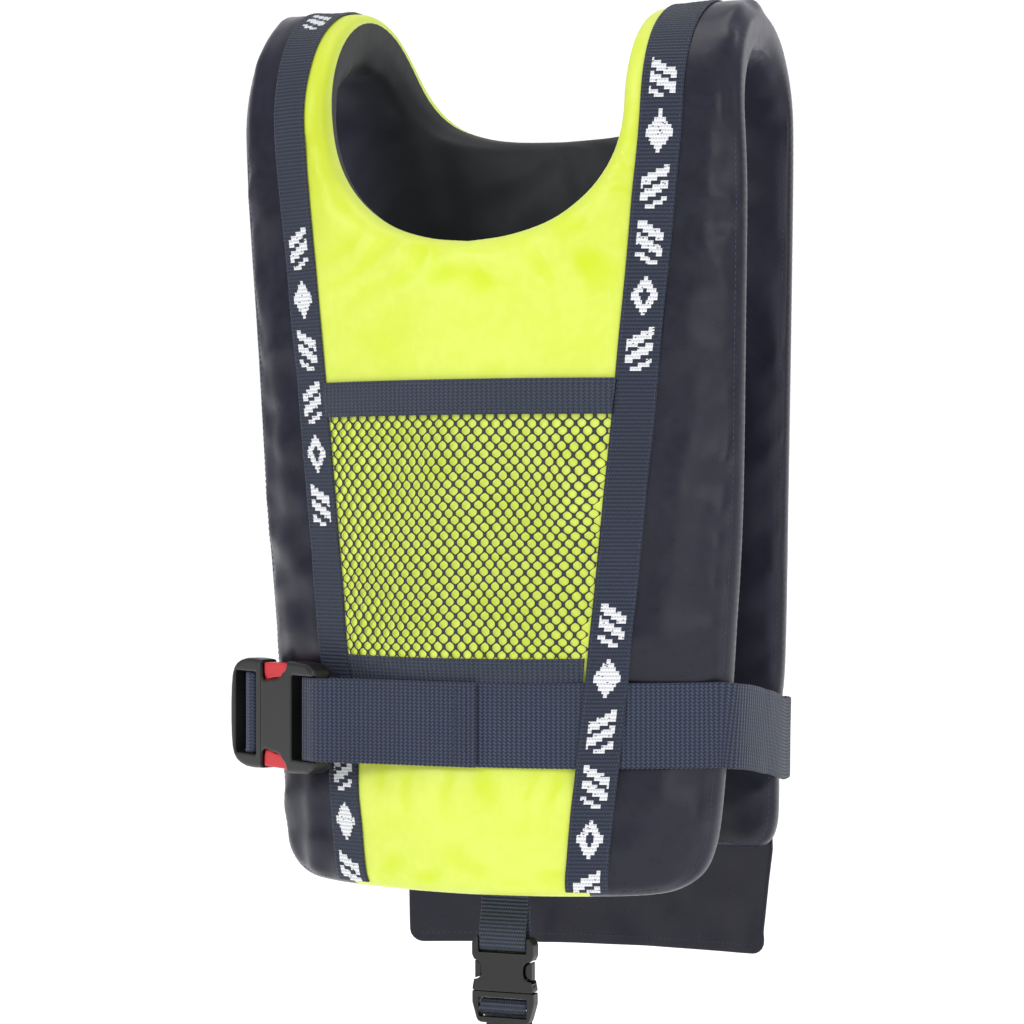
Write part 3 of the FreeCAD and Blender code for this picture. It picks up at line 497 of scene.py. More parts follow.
def taffeta(name, base, dark, light, rough=0.42, sheen=0.25, sheen_tint=(1, 1, 1, 1), weave=0.00045, painted_glow=0.0, crease_by=0.22, spec=0.35, at_sides=None, valley_shade=None, grazing_sheen=0.25, drift=0.8, high=None):
    """Fine plain-weave nylon: soft colour drift, tiny crossing threads with a painted highlight and a silky sheen,
    partly painted in at grazing angles; optionally painted shade in fold valleys and a painted glow.
    """
    m, nt, bsdf = material(name)
    tc = node(nt, "ShaderNodeTexCoord").outputs["Object"]
    sep = node(nt, "ShaderNodeSeparateXYZ", {0: tc})
    big = noise_node(nt, tc, 9.0, 4.0)
    fine = noise_node(nt, tc, 160.0, 2.0)
    x, y, z = sep.outputs
    a = wave(nt, math_node(nt, "ADD", x, y), weave)
    b = wave(nt, z, weave)
    threads = math_node(nt, "MULTIPLY", a, b)
    c = mix_colour(nt, math_node(nt, "MULTIPLY_ADD", big, 1.6, -0.45, True), dark, base)
    c = mix_colour(nt, math_node(nt, "MULTIPLY_ADD", fine, drift, -0.375 * drift, True), c, light)
    if valley_shade:
        # painted shade: fold valleys get a darker, more saturated tone, read from the fold depth
        fold_shade = node(nt, "ShaderNodeAttribute", attribute_name="fold").outputs["Fac"]
        c = mix_colour(nt, math_node(nt, "MULTIPLY_ADD", fold_shade, -0.85, 0.06, True), c, valley_shade)
    if high:
        # deeper over the shoulders, most over the wearer's right one
        over = math_node(nt, "MULTIPLY", math_node(nt, "MULTIPLY_ADD", z, 14.0, -1.9, True), math_node(nt, "MULTIPLY_ADD", x, -3.5, 0.65, True))
        c = mix_colour(nt, math_node(nt, "MULTIPLY", over, 0.9), c, high)
    # painted highlight: the tiny threads are lighter where they cross
    c = mix_colour(nt, math_node(nt, "MULTIPLY", threads, 0.10), c, light)
    # painted sheen: the colour is lifted towards the light tone at grazing angles
    grazing_weight = node(nt, "ShaderNodeLayerWeight", {"Blend": 0.35}).outputs["Facing"]
    c = mix_colour(nt, math_node(nt, "MULTIPLY", grazing_weight, grazing_sheen), c, light)
    if at_sides:
        wide = math_node(nt, "MULTIPLY_ADD", math_node(nt, "ABSOLUTE", x), 30.0, -3.1, True)
        c = mix_colour(nt, wide, c, mix_colour(nt, fine, at_sides, rgb(33, 34, 54)))
    nt.links.new(c, bsdf.inputs["Base Color"])
    nt.links.new(math_node(nt, "MULTIPLY_ADD", fine, 0.18, rough - 0.09), bsdf.inputs["Roughness"])
    bsdf.inputs["Sheen Weight"].default_value = sheen
    bsdf.inputs["Sheen Roughness"].default_value = 0.45
    bsdf.inputs["Sheen Tint"].default_value = sheen_tint
    bsdf.inputs["Specular IOR Level"].default_value = spec
    if painted_glow:
        nt.links.new(c, bsdf.inputs["Emission Color"])
        # painted light: the emission stands in for the dye's fluorescence and is strongest under the pocket net, where
        # it paints out the net's small shadows
        up = math_node(nt, "MULTIPLY", math_node(nt, "MULTIPLY_ADD", z, 250.0, 23.5, True), math_node(nt, "MULTIPLY_ADD", z, -250.0, 14.5, True))
        net_shadow_fill = math_node(nt, "MULTIPLY", up, math_node(nt, "MULTIPLY_ADD", y, -100.0, -2.0, True))
        nt.links.new(math_node(nt, "MULTIPLY_ADD", net_shadow_fill, 0.2, painted_glow), bsdf.inputs["Emission Strength"])
    crease = noise_node(nt, node(nt, "ShaderNodeMapping", {"Vector": tc, "Scale": (1.0, 1.0, 0.4)}).outputs[0], 55.0, 4.0, 0.55)
    b1 = node(nt, "ShaderNodeBump", {"Height": crease, "Strength": crease_by, "Distance": 0.0012}).outputs[0]
    b2 = node(nt, "ShaderNodeBump", {"Height": threads, "Strength": 0.12, "Distance": 0.0001, "Normal": b1}).outputs[0]
    nt.links.new(b2, bsdf.inputs["Normal"])
    return m


def webbing(name, base, dark, light, style="rib", pattern=False, rib=0.0023, cols=0.0016):
    """Woven strap: ribs across or a herringbone along it, from UV in metres (u across, v along)."""
    m, nt, bsdf = material(name)
    uv = node(nt, "ShaderNodeUVMap", uv_map="UVMap").outputs[0]
    sep = node(nt, "ShaderNodeSeparateXYZ", {0: uv})
    u, v = sep.outputs[0], sep.outputs[1]
    tc = node(nt, "ShaderNodeTexCoord").outputs["Object"]
    if style == "rib":
        row = math_node(nt, "FLOOR", math_node(nt, "DIVIDE", v, rib))
        shift = math_node(nt, "MULTIPLY", math_node(nt, "MODULO", row, 2.0), cols / 2)
        w1 = wave(nt, v, rib)
        w2 = wave(nt, math_node(nt, "ADD", u, shift), cols)
        h = math_node(nt, "MULTIPLY_ADD", w2, 0.45, math_node(nt, "MULTIPLY", w1, 0.75))
    else:
        # herringbone: slanted yarns that change direction from one column to the next
        pitch = 0.0029
        tri = math_node(nt, "PINGPONG", v, pitch / 2)
        w1 = wave(nt, math_node(nt, "ADD", u, math_node(nt, "MULTIPLY", tri, 0.8)), 0.0021)
        w2 = wave(nt, v, pitch)
        h = math_node(nt, "MULTIPLY_ADD", w2, 0.5, math_node(nt, "MULTIPLY", w1, 0.65))
    n1 = noise_node(nt, tc, 700.0, 2.0)
    n2 = noise_node(nt, tc, 14.0, 3.0)
    # painted shade in the weave's hollows and a painted highlight on its crests, both from the weave height h
    t = math_node(nt, "MULTIPLY_ADD", n1, 0.35, math_node(nt, "MULTIPLY_ADD", h, 0.85, -0.15), True)
    c = mix_colour(nt, t, dark, base)
    c = mix_colour(nt, math_node(nt, "MULTIPLY_ADD", math_node(nt, "POWER", h, 3.0), 0.5, 0.0, True), c, light)
    c = mix_colour(nt, math_node(nt, "MULTIPLY_ADD", n2, 0.5, -0.1, True), c, dark)
    if pattern:
        at = node(nt, "ShaderNodeAttribute", attribute_name="mark").outputs["Fac"]
        # the white figure yarn gets the same painted shade in the hollows
        yarn = mix_colour(nt, t, rgb(176, 180, 188), rgb(248, 248, 250))
        c = mix_colour(nt, at, c, yarn)
    nt.links.new(c, bsdf.inputs["Base Color"])
    bsdf.inputs["Roughness"].default_value = 0.62
    nt.links.new(math_node(nt, "MULTIPLY_ADD", n1, 0.3, 0.45), bsdf.inputs["Roughness"])
    bsdf.inputs["Sheen Weight"].default_value = 0.12
    bsdf.inputs["Specular IOR Level"].default_value = 0.35
    b = node(nt, "ShaderNodeBump", {"Height": h, "Strength": 0.75, "Distance": 0.0004}).outputs[0]
    b = node(nt, "ShaderNodeBump", {"Height": n1, "Strength": 0.3, "Distance": 0.0002, "Normal": b}).outputs[0]
    nt.links.new(b, bsdf.inputs["Normal"])
    return m


def plastic(name, base, light, rough=0.38, grain=900.0, bump=0.12):
    """Moulded plastic: fine spark-eroded grain, lighter on its convex edges."""
    m, nt, bsdf = material(name)
    tc = node(nt, "ShaderNodeTexCoord").outputs["Object"]
    g = noise_node(nt, tc, grain, 2.0)
    s = noise_node(nt, tc, 60.0, 4.0)
    geo = node(nt, "ShaderNodeNewGeometry").outputs["Pointiness"]
    # lighter on convex edges, read from the mesh's pointiness
    convex_edge = math_node(nt, "MULTIPLY_ADD", geo, 6.0, -3.05, True)
    c = mix_colour(nt, math_node(nt, "MULTIPLY", convex_edge, 0.6), base, light)
    c = mix_colour(nt, math_node(nt, "MULTIPLY_ADD", s, 0.5, -0.15, True), c, light)
    nt.links.new(c, bsdf.inputs["Base Color"])
    nt.links.new(math_node(nt, "MULTIPLY_ADD", s, 0.2, rough - 0.08), bsdf.inputs["Roughness"])
    b = node(nt, "ShaderNodeBump", {"Height": g, "Strength": bump, "Distance": 0.0002}).outputs[0]
    nt.links.new(b, bsdf.inputs["Normal"])
    return m


def thread_mat(name, base, light):
    m, nt, bsdf = material(name)
    tc = node(nt, "ShaderNodeTexCoord").outputs["Object"]
    g = noise_node(nt, tc, 1200.0, 2.0)
    nt.links.new(mix_colour(nt, g, base, light), bsdf.inputs["Base Color"])
    bsdf.inputs["Roughness"].default_value = 0.5
    nt.links.new(node(nt, "ShaderNodeBump", {"Height": g, "Strength": 0.4, "Distance": 0.0001}).outputs[0], bsdf.inputs["Normal"])
    return m


# painted light: the yellow gets an emission glow and painted shade in its fold valleys
YELLOW = taffeta("hi_vis_yellow", rgb(216, 229, 100), rgb(200, 216, 74), rgb(227, 238, 127), rough=0.42, sheen=0.04, painted_glow=0.05, crease_by=0.1, valley_shade=rgb(196, 216, 28), drift=0.5, high=rgb(188, 203, 40))
NAVY = taffeta("navy_nylon", rgb(22, 23, 39), rgb(15, 16, 29), rgb(36, 37, 60), rough=0.31, sheen=0.06, sheen_tint=(0.62, 0.65, 1, 1), crease_by=0.13, spec=0.33, grazing_sheen=0.08)
LINING = taffeta("dark_lining", rgb(16, 19, 24), rgb(11, 14, 18), rgb(27, 31, 37), rough=0.6, sheen=0.06, at_sides=rgb(21, 22, 38))
TAPE = webbing("tape_webbing", rgb(34, 43, 63), rgb(15, 20, 34), rgb(60, 71, 97), "rib", pattern=True)
BELT = webbing("belt_webbing", rgb(36, 46, 69), rgb(12, 17, 32), rgb(80, 94, 126), "herringbone")
STRAP = webbing("strap_webbing", rgb(42, 51, 70), rgb(20, 26, 38), rgb(70, 80, 100), "rib")
BAND = webbing("pocket_webbing", rgb(44, 53, 72), rgb(21, 28, 40), rgb(72, 82, 102), "herringbone")
NET = thread_mat("net_yarn", rgb(16, 24, 30), rgb(38, 50, 62))
NET.node_tree.nodes["Principled BSDF"].inputs["Roughness"].default_value = 0.55
THREAD = thread_mat("navy_thread", rgb(30, 36, 54), rgb(66, 76, 100))
CHARCOAL = plastic("charcoal_plastic", rgb(15, 15, 16), rgb(31, 31, 32), 0.4)
RED = plastic("red_plastic", rgb(196, 20, 34), rgb(222, 60, 66), 0.34, 700.0, 0.06)


# ------------------------------------------------------------------ folds left in the cloth, then the covers are cut apart
def vertex_normals(verts, faces):
    n = np.zeros_like(verts)
    a, b, c = verts[faces[:, 0]], verts[faces[:, 1]], verts[faces[:, 2]]
    fn = np.cross(b - a, c - a)
    for k in range(3):
        np.add.at(n, faces[:, k], fn)
    ln = np.linalg.norm(n, axis=1)
    ln[ln == 0] = 1
    return n / ln[:, None]


NORMALS = vertex_normals(MOVED, FACES)
dx, dl = DOM[:, 0], DOM[:, 1]
edge_w = smooth(1, 9, DOMD) * (1 - 0.8 * smooth(14, 46, DOMD))
lane_w = smooth(11, 17, lane)
side_w = ((np.abs(dx) > tape_x(dl)) & ~INNER_V).astype(float)
belt_w = smooth(22, 34, np.abs(zz - zb))
# puckers run in from the seams
n_a = value_noise(DOM, 34.0, 11)
n_b = value_noise(DOM * [0.55, 1.0], 19.0, 12)
pucker = (0.55 * n_b + 0.45 * n_a) * edge_w
# long soft folds
q = DOM + np.stack([value_noise(DOM, 150.0, 13) * 14, value_noise(DOM, 150.0, 14) * 20], 1)
def crest(a):
    """Soft fold with a narrow ridge and a broad valley."""
    return 1.7 * (1 - np.abs(np.sin(a / 2))) ** 1.6 - 0.45


upright = crest(q[:, 0] / 3.9 + 0.03 * q[:, 1]) * smooth(-0.1, 0.8, value_noise(DOM, 105.0, 15))
slant = crest((q[:, 0] * 0.6 + q[:, 1]) / 7.0) * smooth(0.0, 0.9, value_noise(DOM, 110.0, 16))
slant2 = crest((q[:, 0] * -0.8 + q[:, 1]) / 8.5) * smooth(0.1, 0.9, value_noise(DOM, 95.0, 26))
across = crest(q[:, 1] / 8.0 + q[:, 0] * 0.05) * smooth(0.0, 0.9, value_noise(DOM, 90.0, 17))
back_w = (dl > L_BACK0 - 30).astype(float)
run = np.abs(dx) - tape_x(dl)
long_fold = (1.15 * np.cos(2 * math.pi * (run - 7.0) / 25.0 + 0.9 * value_noise(DOM * [1.0, 0.5], 120.0, 33)) * (0.65 + 0.5 * value_noise(DOM, 140.0, 34))
             + 0.5 * np.cos(2 * math.pi * (run * 1.0 - 3.0) / 13.0 + 1.6 * value_noise(DOM * [1.0, 0.45], 100.0, 35)) * smooth(-0.3, 0.7, value_noise(DOM, 90.0, 36)))
amp = pucker * (0.9 + 0.1 * side_w)
amp = amp + side_w * (1.15 * long_fold + 1.1 * upright * (1 - back_w) + 1.0 * slant * smooth(-20, -90, zz) + 0.8 * slant + 0.9 * slant2 + 1.4 * across * back_w)
chest = smooth(60, 140, zz) * (1 - back_w)
amp = amp + (1 - side_w) * (~INNER_V) * (0.35 + 0.65 * chest) * (1.15 * slant + 1.1 * slant2)
amp = amp + INNER_V * (1.3 * across + 0.8 * n_a + 1.3 * slant * back_w)
nd = loop_distance(DOM, NECK)
around = np.arctan2(DOM[:, 0], 215.0 - DOM[:, 1])
fan = crest(around * 19.0 + 2.6 * value_noise(DOM, 90.0, 51)) * smooth(2, 12, nd) * (1 - smooth(16, 60, nd)) * (DOM[:, 1] < ZA) * smooth(0.12, 0.4, np.abs(around) + 0.25 * value_noise(DOM, 60.0, 52))
amp = amp + 1.7 * fan * (~INNER_V) * (1 - side_w)
amp = amp * np.where(INNER_V, 1.0, lane_w) * belt_w * smooth(0.5, 6, DOMD)
# folds that gather where the belt pulls in, above and below it
gather = np.sin(dx / 3.7 + 2.0 * value_noise(DOM, 60.0, 18)) * np.exp(-((np.abs(zz - zb) - 36.0) / 12.0) ** 2)
amp = amp + 0.8 * gather * (~INNER_V) * lane_w * smooth(3, 14, DOMD)
FINAL = MOVED + NORMALS * (amp * MM)[:, None]
# a stitched groove where cover meets lining
near_a = np.concatenate([FACES[:, 0], FACES[:, 1], FACES[:, 2]])
near_b = np.concatenate([FACES[:, 1], FACES[:, 2], FACES[:, 0]])
free = ((DOMR < 0) | (DOMR > 12)).astype(float)[:, None] * 0.6
for _ in range(2):
    total, count = np.zeros_like(FINAL), np.zeros((len(FINAL), 1))
    np.add.at(total, near_a, FINAL[near_b])
    np.add.at(count, near_a, 1.0)
    FINAL = FINAL * (1 - free) + total / count * free
groove = (DOMR == SEAM_RING) & INNER_V
FINAL[groove] -= NORMALS[groove] * 0.0011
# and one along the arm edges and the hem, where the covers are turned under
groove_out = (DOMR == SEAM_RING) & ~INNER_V & (np.abs(dx) > tape_x(dl) + 12)
FINAL[groove_out] -= NORMALS[groove_out] * 0.0008

cen = DOM[FACES].mean(1)
cd = DOMD[FACES].mean(1)
# at the neck the cover ends on the edge itself; elsewhere it is turned in a little
neck_in = (cen[:, 1] > 0.0) & (cen[:, 1] < lb(150)) & (np.abs(cen[:, 0]) < 115.0)
is_cover = ~is_inner | ((cd < SEAM_RING) & ~neck_in)
side = np.abs(cen[:, 0]) > tape_x(cen[:, 1])
part = np.where(~is_cover, 3, np.where(~side, 0, np.where(cen[:, 0] > 0, 1, 2)))

body.data.vertices.foreach_set("co", FINAL.astype(np.float32).ravel())
body.data.attributes.new("fold", "FLOAT", "POINT").data.foreach_set("value", amp.astype(np.float32))
for _ in range(4):
    body.data.materials.append(None)
body.data.polygons.foreach_set("material_index", part.astype(np.int32))
body.data.update()
sub = body.modifiers.new("sub", "SUBSURF")
sub.levels = sub.render_levels = 1
bpy.context.view_layer.update()
fine = bpy.data.meshes.new_from_object(body.evaluated_get(bpy.context.evaluated_depsgraph_get()))
fv = coords(fine)
fold_depth = np.zeros(len(fine.vertices))
fine.attributes["fold"].data.foreach_get("value", fold_depth)
nf = len(fine.polygons)
mi = np.zeros(nf, np.int32)
fine.polygons.foreach_get("material_index", mi)
quad = np.zeros(len(fine.loops), np.int32)
fine.loops.foreach_get("vertex_index", quad)
quad = quad.reshape(-1, 4)
bpy.data.objects.remove(body)
BODY_BVH = BVHTree.FromPolygons([Vector(p) for p in fv], [tuple(map(int, f)) for f in quad])


def fold_blend(o):
    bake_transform(o)


for k, (name, mat, slot_name, nodes) in enumerate((
    ("vest_centre_cover", YELLOW, "cover_yellow", ("front_centre_cover", "back_centre_cover", "front_foam_outer", "back_foam_outer")),
    ("vest_side_cover_left", NAVY, "cover_navy", ("front_side_cover_left", "back_side_cover_left")),
    ("vest_side_cover_right", NAVY, "cover_navy", ("front_side_cover_right", "back_side_cover_right")),
    ("vest_lining", LINING, "lining", ("front_lining", "back_lining", "front_foam_inner", "back_foam_inner", "shoulder_foam_front", "shoulder_foam_back")),
)):
    fsel = quad[mi == k]
    used, inv = np.unique(fsel, return_inverse=True)
    o = mesh_object(name, fv[used], inv.reshape(-1, 4))
    o.data.attributes.new("fold", "FLOAT", "POINT").data.foreach_set("value", fold_depth[used].astype(np.float32))
    o.data.materials.append(mat)
    fold_blend(o)
    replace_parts(o, *nodes)

# ------------------------------------------------------------------ the finished outer skin as a height field for straps
from mathutils.kdtree import KDTree

tree = KDTree(len(DV))
for i, p in enumerate(DV):
    tree.insert((p[0], p[1], 0.0), i)
tree.balance()
GX = np.arange(-168.0, 168.1, 4.0)
GL = np.arange(-232.0, lb(-224), 4.0)
base_outer = VERTS[:len(DV)] / MM
disp = FINAL[:len(DV)] / MM - base_outer
grid_d = np.zeros((len(GL), len(GX), 3))
for i, l in enumerate(GL):
    for j, x in enumerate(GX):
        hits = tree.find_n((x, l, 0.0), 5)
        w = np.array([1.0 / (h[2] + 0.8) ** 2 for h in hits])
        grid_d[i, j] = (disp[[h[1] for h in hits]] * w[:, None]).sum(0) / w.sum()
for _ in range(2):
    grid_d[1:-1, 1:-1] = 0.4 * grid_d[1:-1, 1:-1] + 0.15 * (grid_d[:-2, 1:-1] + grid_d[2:, 1:-1] + grid_d[1:-1, :-2] + grid_d[1:-1, 2:])


def skin(x, l, h=0.0, d=None):
    """Points of the finished outer face at sheet places (x, l), raised by h mm."""
    x, l, h = np.broadcast_arrays(*[np.asarray(a, float) for a in (x, l, h)])
    shape = x.shape
    v = np.stack([x.ravel(), l.ravel()], 1)
    if d is None:
        d = np.minimum(loop_distance(v, OUTER), loop_distance(v, NECK))
    d = np.broadcast_to(np.asarray(d, float).ravel(), (len(v),))
    f = profile(np.maximum(d, 0))
    o, _ = rest_offset(v, d)
    p = place(v[:, 0], v[:, 1], 1.0, f, o * f)
    gx = np.clip((v[:, 0] - GX[0]) / 4.0, 0, len(GX) - 1.001)
    gl = np.clip((v[:, 1] - GL[0]) / 4.0, 0, len(GL) - 1.001)
    i, j = gl.astype(int), gx.astype(int)
    a, b = (gl - i)[:, None], (gx - j)[:, None]
    q = grid_d[i, j] * (1 - a) * (1 - b) + grid_d[i + 1, j] * a * (1 - b) + grid_d[i, j + 1] * (1 - a) * b + grid_d[i + 1, j + 1] * a * b
    e = 0.5
    tx_ = place(v[:, 0] + e, v[:, 1], 1.0) - place(v[:, 0] - e, v[:, 1], 1.0)
    tl_ = place(v[:, 0], v[:, 1] + e, 1.0) - place(v[:, 0], v[:, 1] - e, 1.0)
    n = np.cross(tx_, tl_)
    n /= np.linalg.norm(n, axis=1)[:, None]
    return (p + q + n * h.ravel()[:, None]).reshape(shape + (3,))


def slab(name, top, bottom, uv, mat, mark=None, smooth_shade=True):
    """Thin closed sheet from two grids of points in mm, with UV in metres and an optional face mark."""
    n, m = top.shape[:2]
    verts = np.vstack([top.reshape(-1, 3), bottom.reshape(-1, 3)]) * MM
    idx = np.arange(n * m).reshape(n, m)
    t = np.stack([idx[:-1, :-1], idx[:-1, 1:], idx[1:, 1:], idx[1:, :-1]], -1).reshape(-1, 4)
    k = n * m
    bt = t[:, ::-1] + k
    rim = np.concatenate([idx[0, :], idx[1:, -1], idx[-1, -2::-1], idx[-2:0:-1, 0]])
    nxt = np.roll(rim, -1)
    sides = np.stack([nxt, rim, rim + k, nxt + k], -1)
    faces = np.vstack([t, bt, sides])
    o = mesh_object(name, verts, faces, smooth_shade)
    me = o.data
    a, b = Vector(verts[t[0][1]] - verts[t[0][0]]), Vector(verts[t[0][3]] - verts[t[0][0]])
    layer = me.uv_layers.new(name="UVMap")
    li = np.zeros(len(me.loops), np.int32)
    me.loops.foreach_get("vertex_index", li)
    uvs = np.vstack([uv.reshape(-1, 2), uv.reshape(-1, 2)])[li]
    layer.data.foreach_set("uv", uvs.astype(np.float32).ravel())
    if mark is not None:
        at = me.attributes.new("mark", "FLOAT", "FACE")
        vals = np.concatenate([mark.ravel(), np.zeros(len(bt) + len(sides))])
        at.data.foreach_set("value", vals.astype(np.float32))
    me.materials.append(mat)
    return o


def fix_normals(o):
    bm = bmesh.new()
    bm.from_mesh(o.data)
    bmesh.ops.recalc_face_normals(bm, faces=bm.faces)
    bm.to_mesh(o.data)
    bm.free()
    o.data.update()


# ------------------------------------------------------------------ upright tapes with a woven pattern
def woven_mark(u, v):
    """White figure at u across (-1 to 1) and v along, in mm: slanted bars and diamonds in groups."""
    period, start = 318.0, 22.0
    w = (v - start) % period
    out = np.zeros(u.shape, bool)
    un = u * 12.5
    cell, count = 31.5, 6
    k = np.floor(w / cell)
    y = w - (k + 0.5) * cell
    on = (k < count) & (np.abs(un) < 8.2) & (np.abs(y) < 12.8)
    s = un * 0.55
    bars = (np.abs(y - s - 6.0) < 2.9) | (np.abs(y - s + 2.6) < 2.9) | (np.abs(y - s + 11.2) < 1.7)
    diamond = (np.abs(un) / 8.2 + np.abs(y) / 12.5 < 1.0) & ~(np.abs(un) / 3.4 + np.abs(y) / 5.2 < 1.0)
    back = (np.abs(y + s - 6.0) < 2.9) | (np.abs(y + s + 2.6) < 2.9) | (np.abs(y + s + 11.2) < 1.7)
    kk = k % 3
    solid = np.abs(un) / 8.2 + np.abs(y) / 12.5 < 1.0
    fig = np.where(kk == 0, bars, np.where(kk == 1, np.where(k == 1, diamond, solid), back))
    return (on & fig).astype(float)


def tape(side):
    step = 0.575
    ls = np.arange(-224.0, lb(-211.5), step)
    coarse = ls[::8]
    if coarse[-1] != ls[-1]:
        coarse = np.append(coarse, ls[-1])
    cols = np.array([-1.0, -0.96] + list(np.linspace(-0.88, 0.88, 21)) + [0.96, 1.0])
    x0 = tape_x(coarse)
    # a softened corner where the run changes direction on the shoulder
    for _ in range(6):
        x0[1:-1] = 0.25 * x0[:-2] + 0.5 * x0[1:-1] + 0.25 * x0[2:]
    e = 0.5
    g = np.linalg.norm(place(x0 + e, coarse, 1.0) - place(x0 - e, coarse, 1.0), axis=1)
    dirx = (12.5 / g)[:, None] * cols[None, :]
    X = x0[:, None] + dirx
    L = coarse[:, None] + 0 * X
    zf = np.where(L < ZA, L, 999.0)
    over = np.zeros_like(L)
    if side > 0:
        over = 2.5 * smooth(-163, -151, zf) * (1 - smooth(-98, -86, zf))
    else:
        over = 0.0 * L
    zbk = back_z(L)
    h0 = 0.35 + over
    v = np.stack([X.ravel(), L.ravel()], 1)
    d = np.minimum(loop_distance(v, OUTER), loop_distance(v, NECK))
    d = np.where(inside(v, OUTER), d, 0.0).reshape(X.shape)
    bottom = skin(side * X, L, h0, d)
    top = skin(side * X, L, h0 + 1.55, d)
    if side > 0:
        # this tape is sewn on over the belt
        e = 0.5
        flat = place(side * X.ravel(), L.ravel(), 1.0)
        nx = np.cross(place(side * X.ravel() + e, L.ravel(), 1.0) - place(side * X.ravel() - e, L.ravel(), 1.0), place(side * X.ravel(), L.ravel() + e, 1.0) - place(side * X.ravel(), L.ravel() - e, 1.0))
        nx /= np.linalg.norm(nx, axis=1)[:, None]
        w = (over / 2.5)[..., None]
        bottom = bottom * (1 - w) + (flat + nx * 2.35).reshape(bottom.shape) * w
        top = top * (1 - w) + (flat + nx * 3.9).reshape(top.shape) * w
    # the strap bridges small dips
    up = top - bottom
    ker = np.array([1, 2, 3, 2, 1], float) / 9
    for arr in (bottom,):
        pad = np.concatenate([arr[:1]] * 2 + [arr] + [arr[-1:]] * 2)
        arr[:] = sum(ker[i] * pad[i:i + len(arr)] for i in range(5))
    hat = up / np.linalg.norm(up, axis=2)[:, :, None]
    lift = np.zeros(bottom.shape[:2])
    for i in range(bottom.shape[0]):
        for j in range(bottom.shape[1]):
            o_, d_ = bottom[i, j] + hat[i, j] * 5.0, hat[i, j]
            hit = BODY_BVH.ray_cast(Vector(o_ * MM), Vector(-d_), 0.006)
            if hit[0] is not None:
                lift[i, j] = max(0.0, 5.0 - hit[3] / MM + 0.2)
    lift = np.minimum(lift, 2.6)
    lift = np.repeat(lift.max(axis=1, keepdims=True), lift.shape[1], axis=1) * 0.5 + lift * 0.5
    pad = np.concatenate([lift[:1], lift, lift[-1:]])
    lift = np.maximum(lift, np.maximum(pad[:-2], pad[2:]) * 0.8)
    bottom = bottom + hat * lift[:, :, None]
    top = bottom + up
    lin = lambda A: np.stack([[np.interp(ls, coarse, A[:, c, k]) for k in range(3)] for c in range(A.shape[1])], 0).transpose(2, 0, 1)
    T, B = lin(top), lin(bottom)
    seg = np.linalg.norm(np.diff(T[:, 12], axis=0), axis=1)
    s = np.concatenate([[0], np.cumsum(seg)])
    up = (T - B)
    up /= np.linalg.norm(up, axis=2)[:, :, None]
    rib = 0.16 * np.cos(2 * math.pi * s / 2.3)
    rows = np.floor(s / 2.3)
    yarn = 0.09 * np.cos(2 * math.pi * (cols[None, :] * 12.5 / 1.6) + (rows[:, None] % 2) * math.pi)
    bend = np.where(np.abs(cols) > 0.99, -0.75, np.where(np.abs(cols) > 0.95, -0.22, 0.0))
    T = T + up * (rib[:, None] * (np.abs(cols) < 0.97) + yarn * (np.abs(cols) < 0.9) + bend)[:, :, None]
    B = B + up * (np.where(np.abs(cols) > 0.99, 0.45, 0.0))[None, :, None]
    uv = np.stack([np.broadcast_to((cols * 12.5 * MM)[None, :], T.shape[:2]), np.broadcast_to((s * MM)[:, None], T.shape[:2])], -1)
    rq = (np.floor(s / 2.3) + 0.5) * 2.3
    cc = (cols[:-1] + cols[1:]) / 2
    cq = (np.floor(cc * 12.5 / 0.8) + 0.5) * 0.8 / 12.5
    offset = 37.0 if side > 0 else 127.0
    mark = woven_mark(np.broadcast_to(cq[None, :], (len(s) - 1, len(cc))), np.broadcast_to((rq[:-1] + offset)[:, None], (len(s) - 1, len(cc))))
    # ragged yarn ends along each figure
    mark = mark * (rng.random(mark.shape) > 0.03)
    o = slab("tape_left" if side > 0 else "tape_right", T[:, ::side], B[:, ::side], uv[:, ::side], TAPE, mark[:, ::side])
    fix_normals(o)
    fold_blend(o)
    n = "left" if side > 0 else "right"
    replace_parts(o, "front_webbing_" + n, "back_webbing_" + n)
    return T, B


TL = tape(1)
TR = tape(-1)


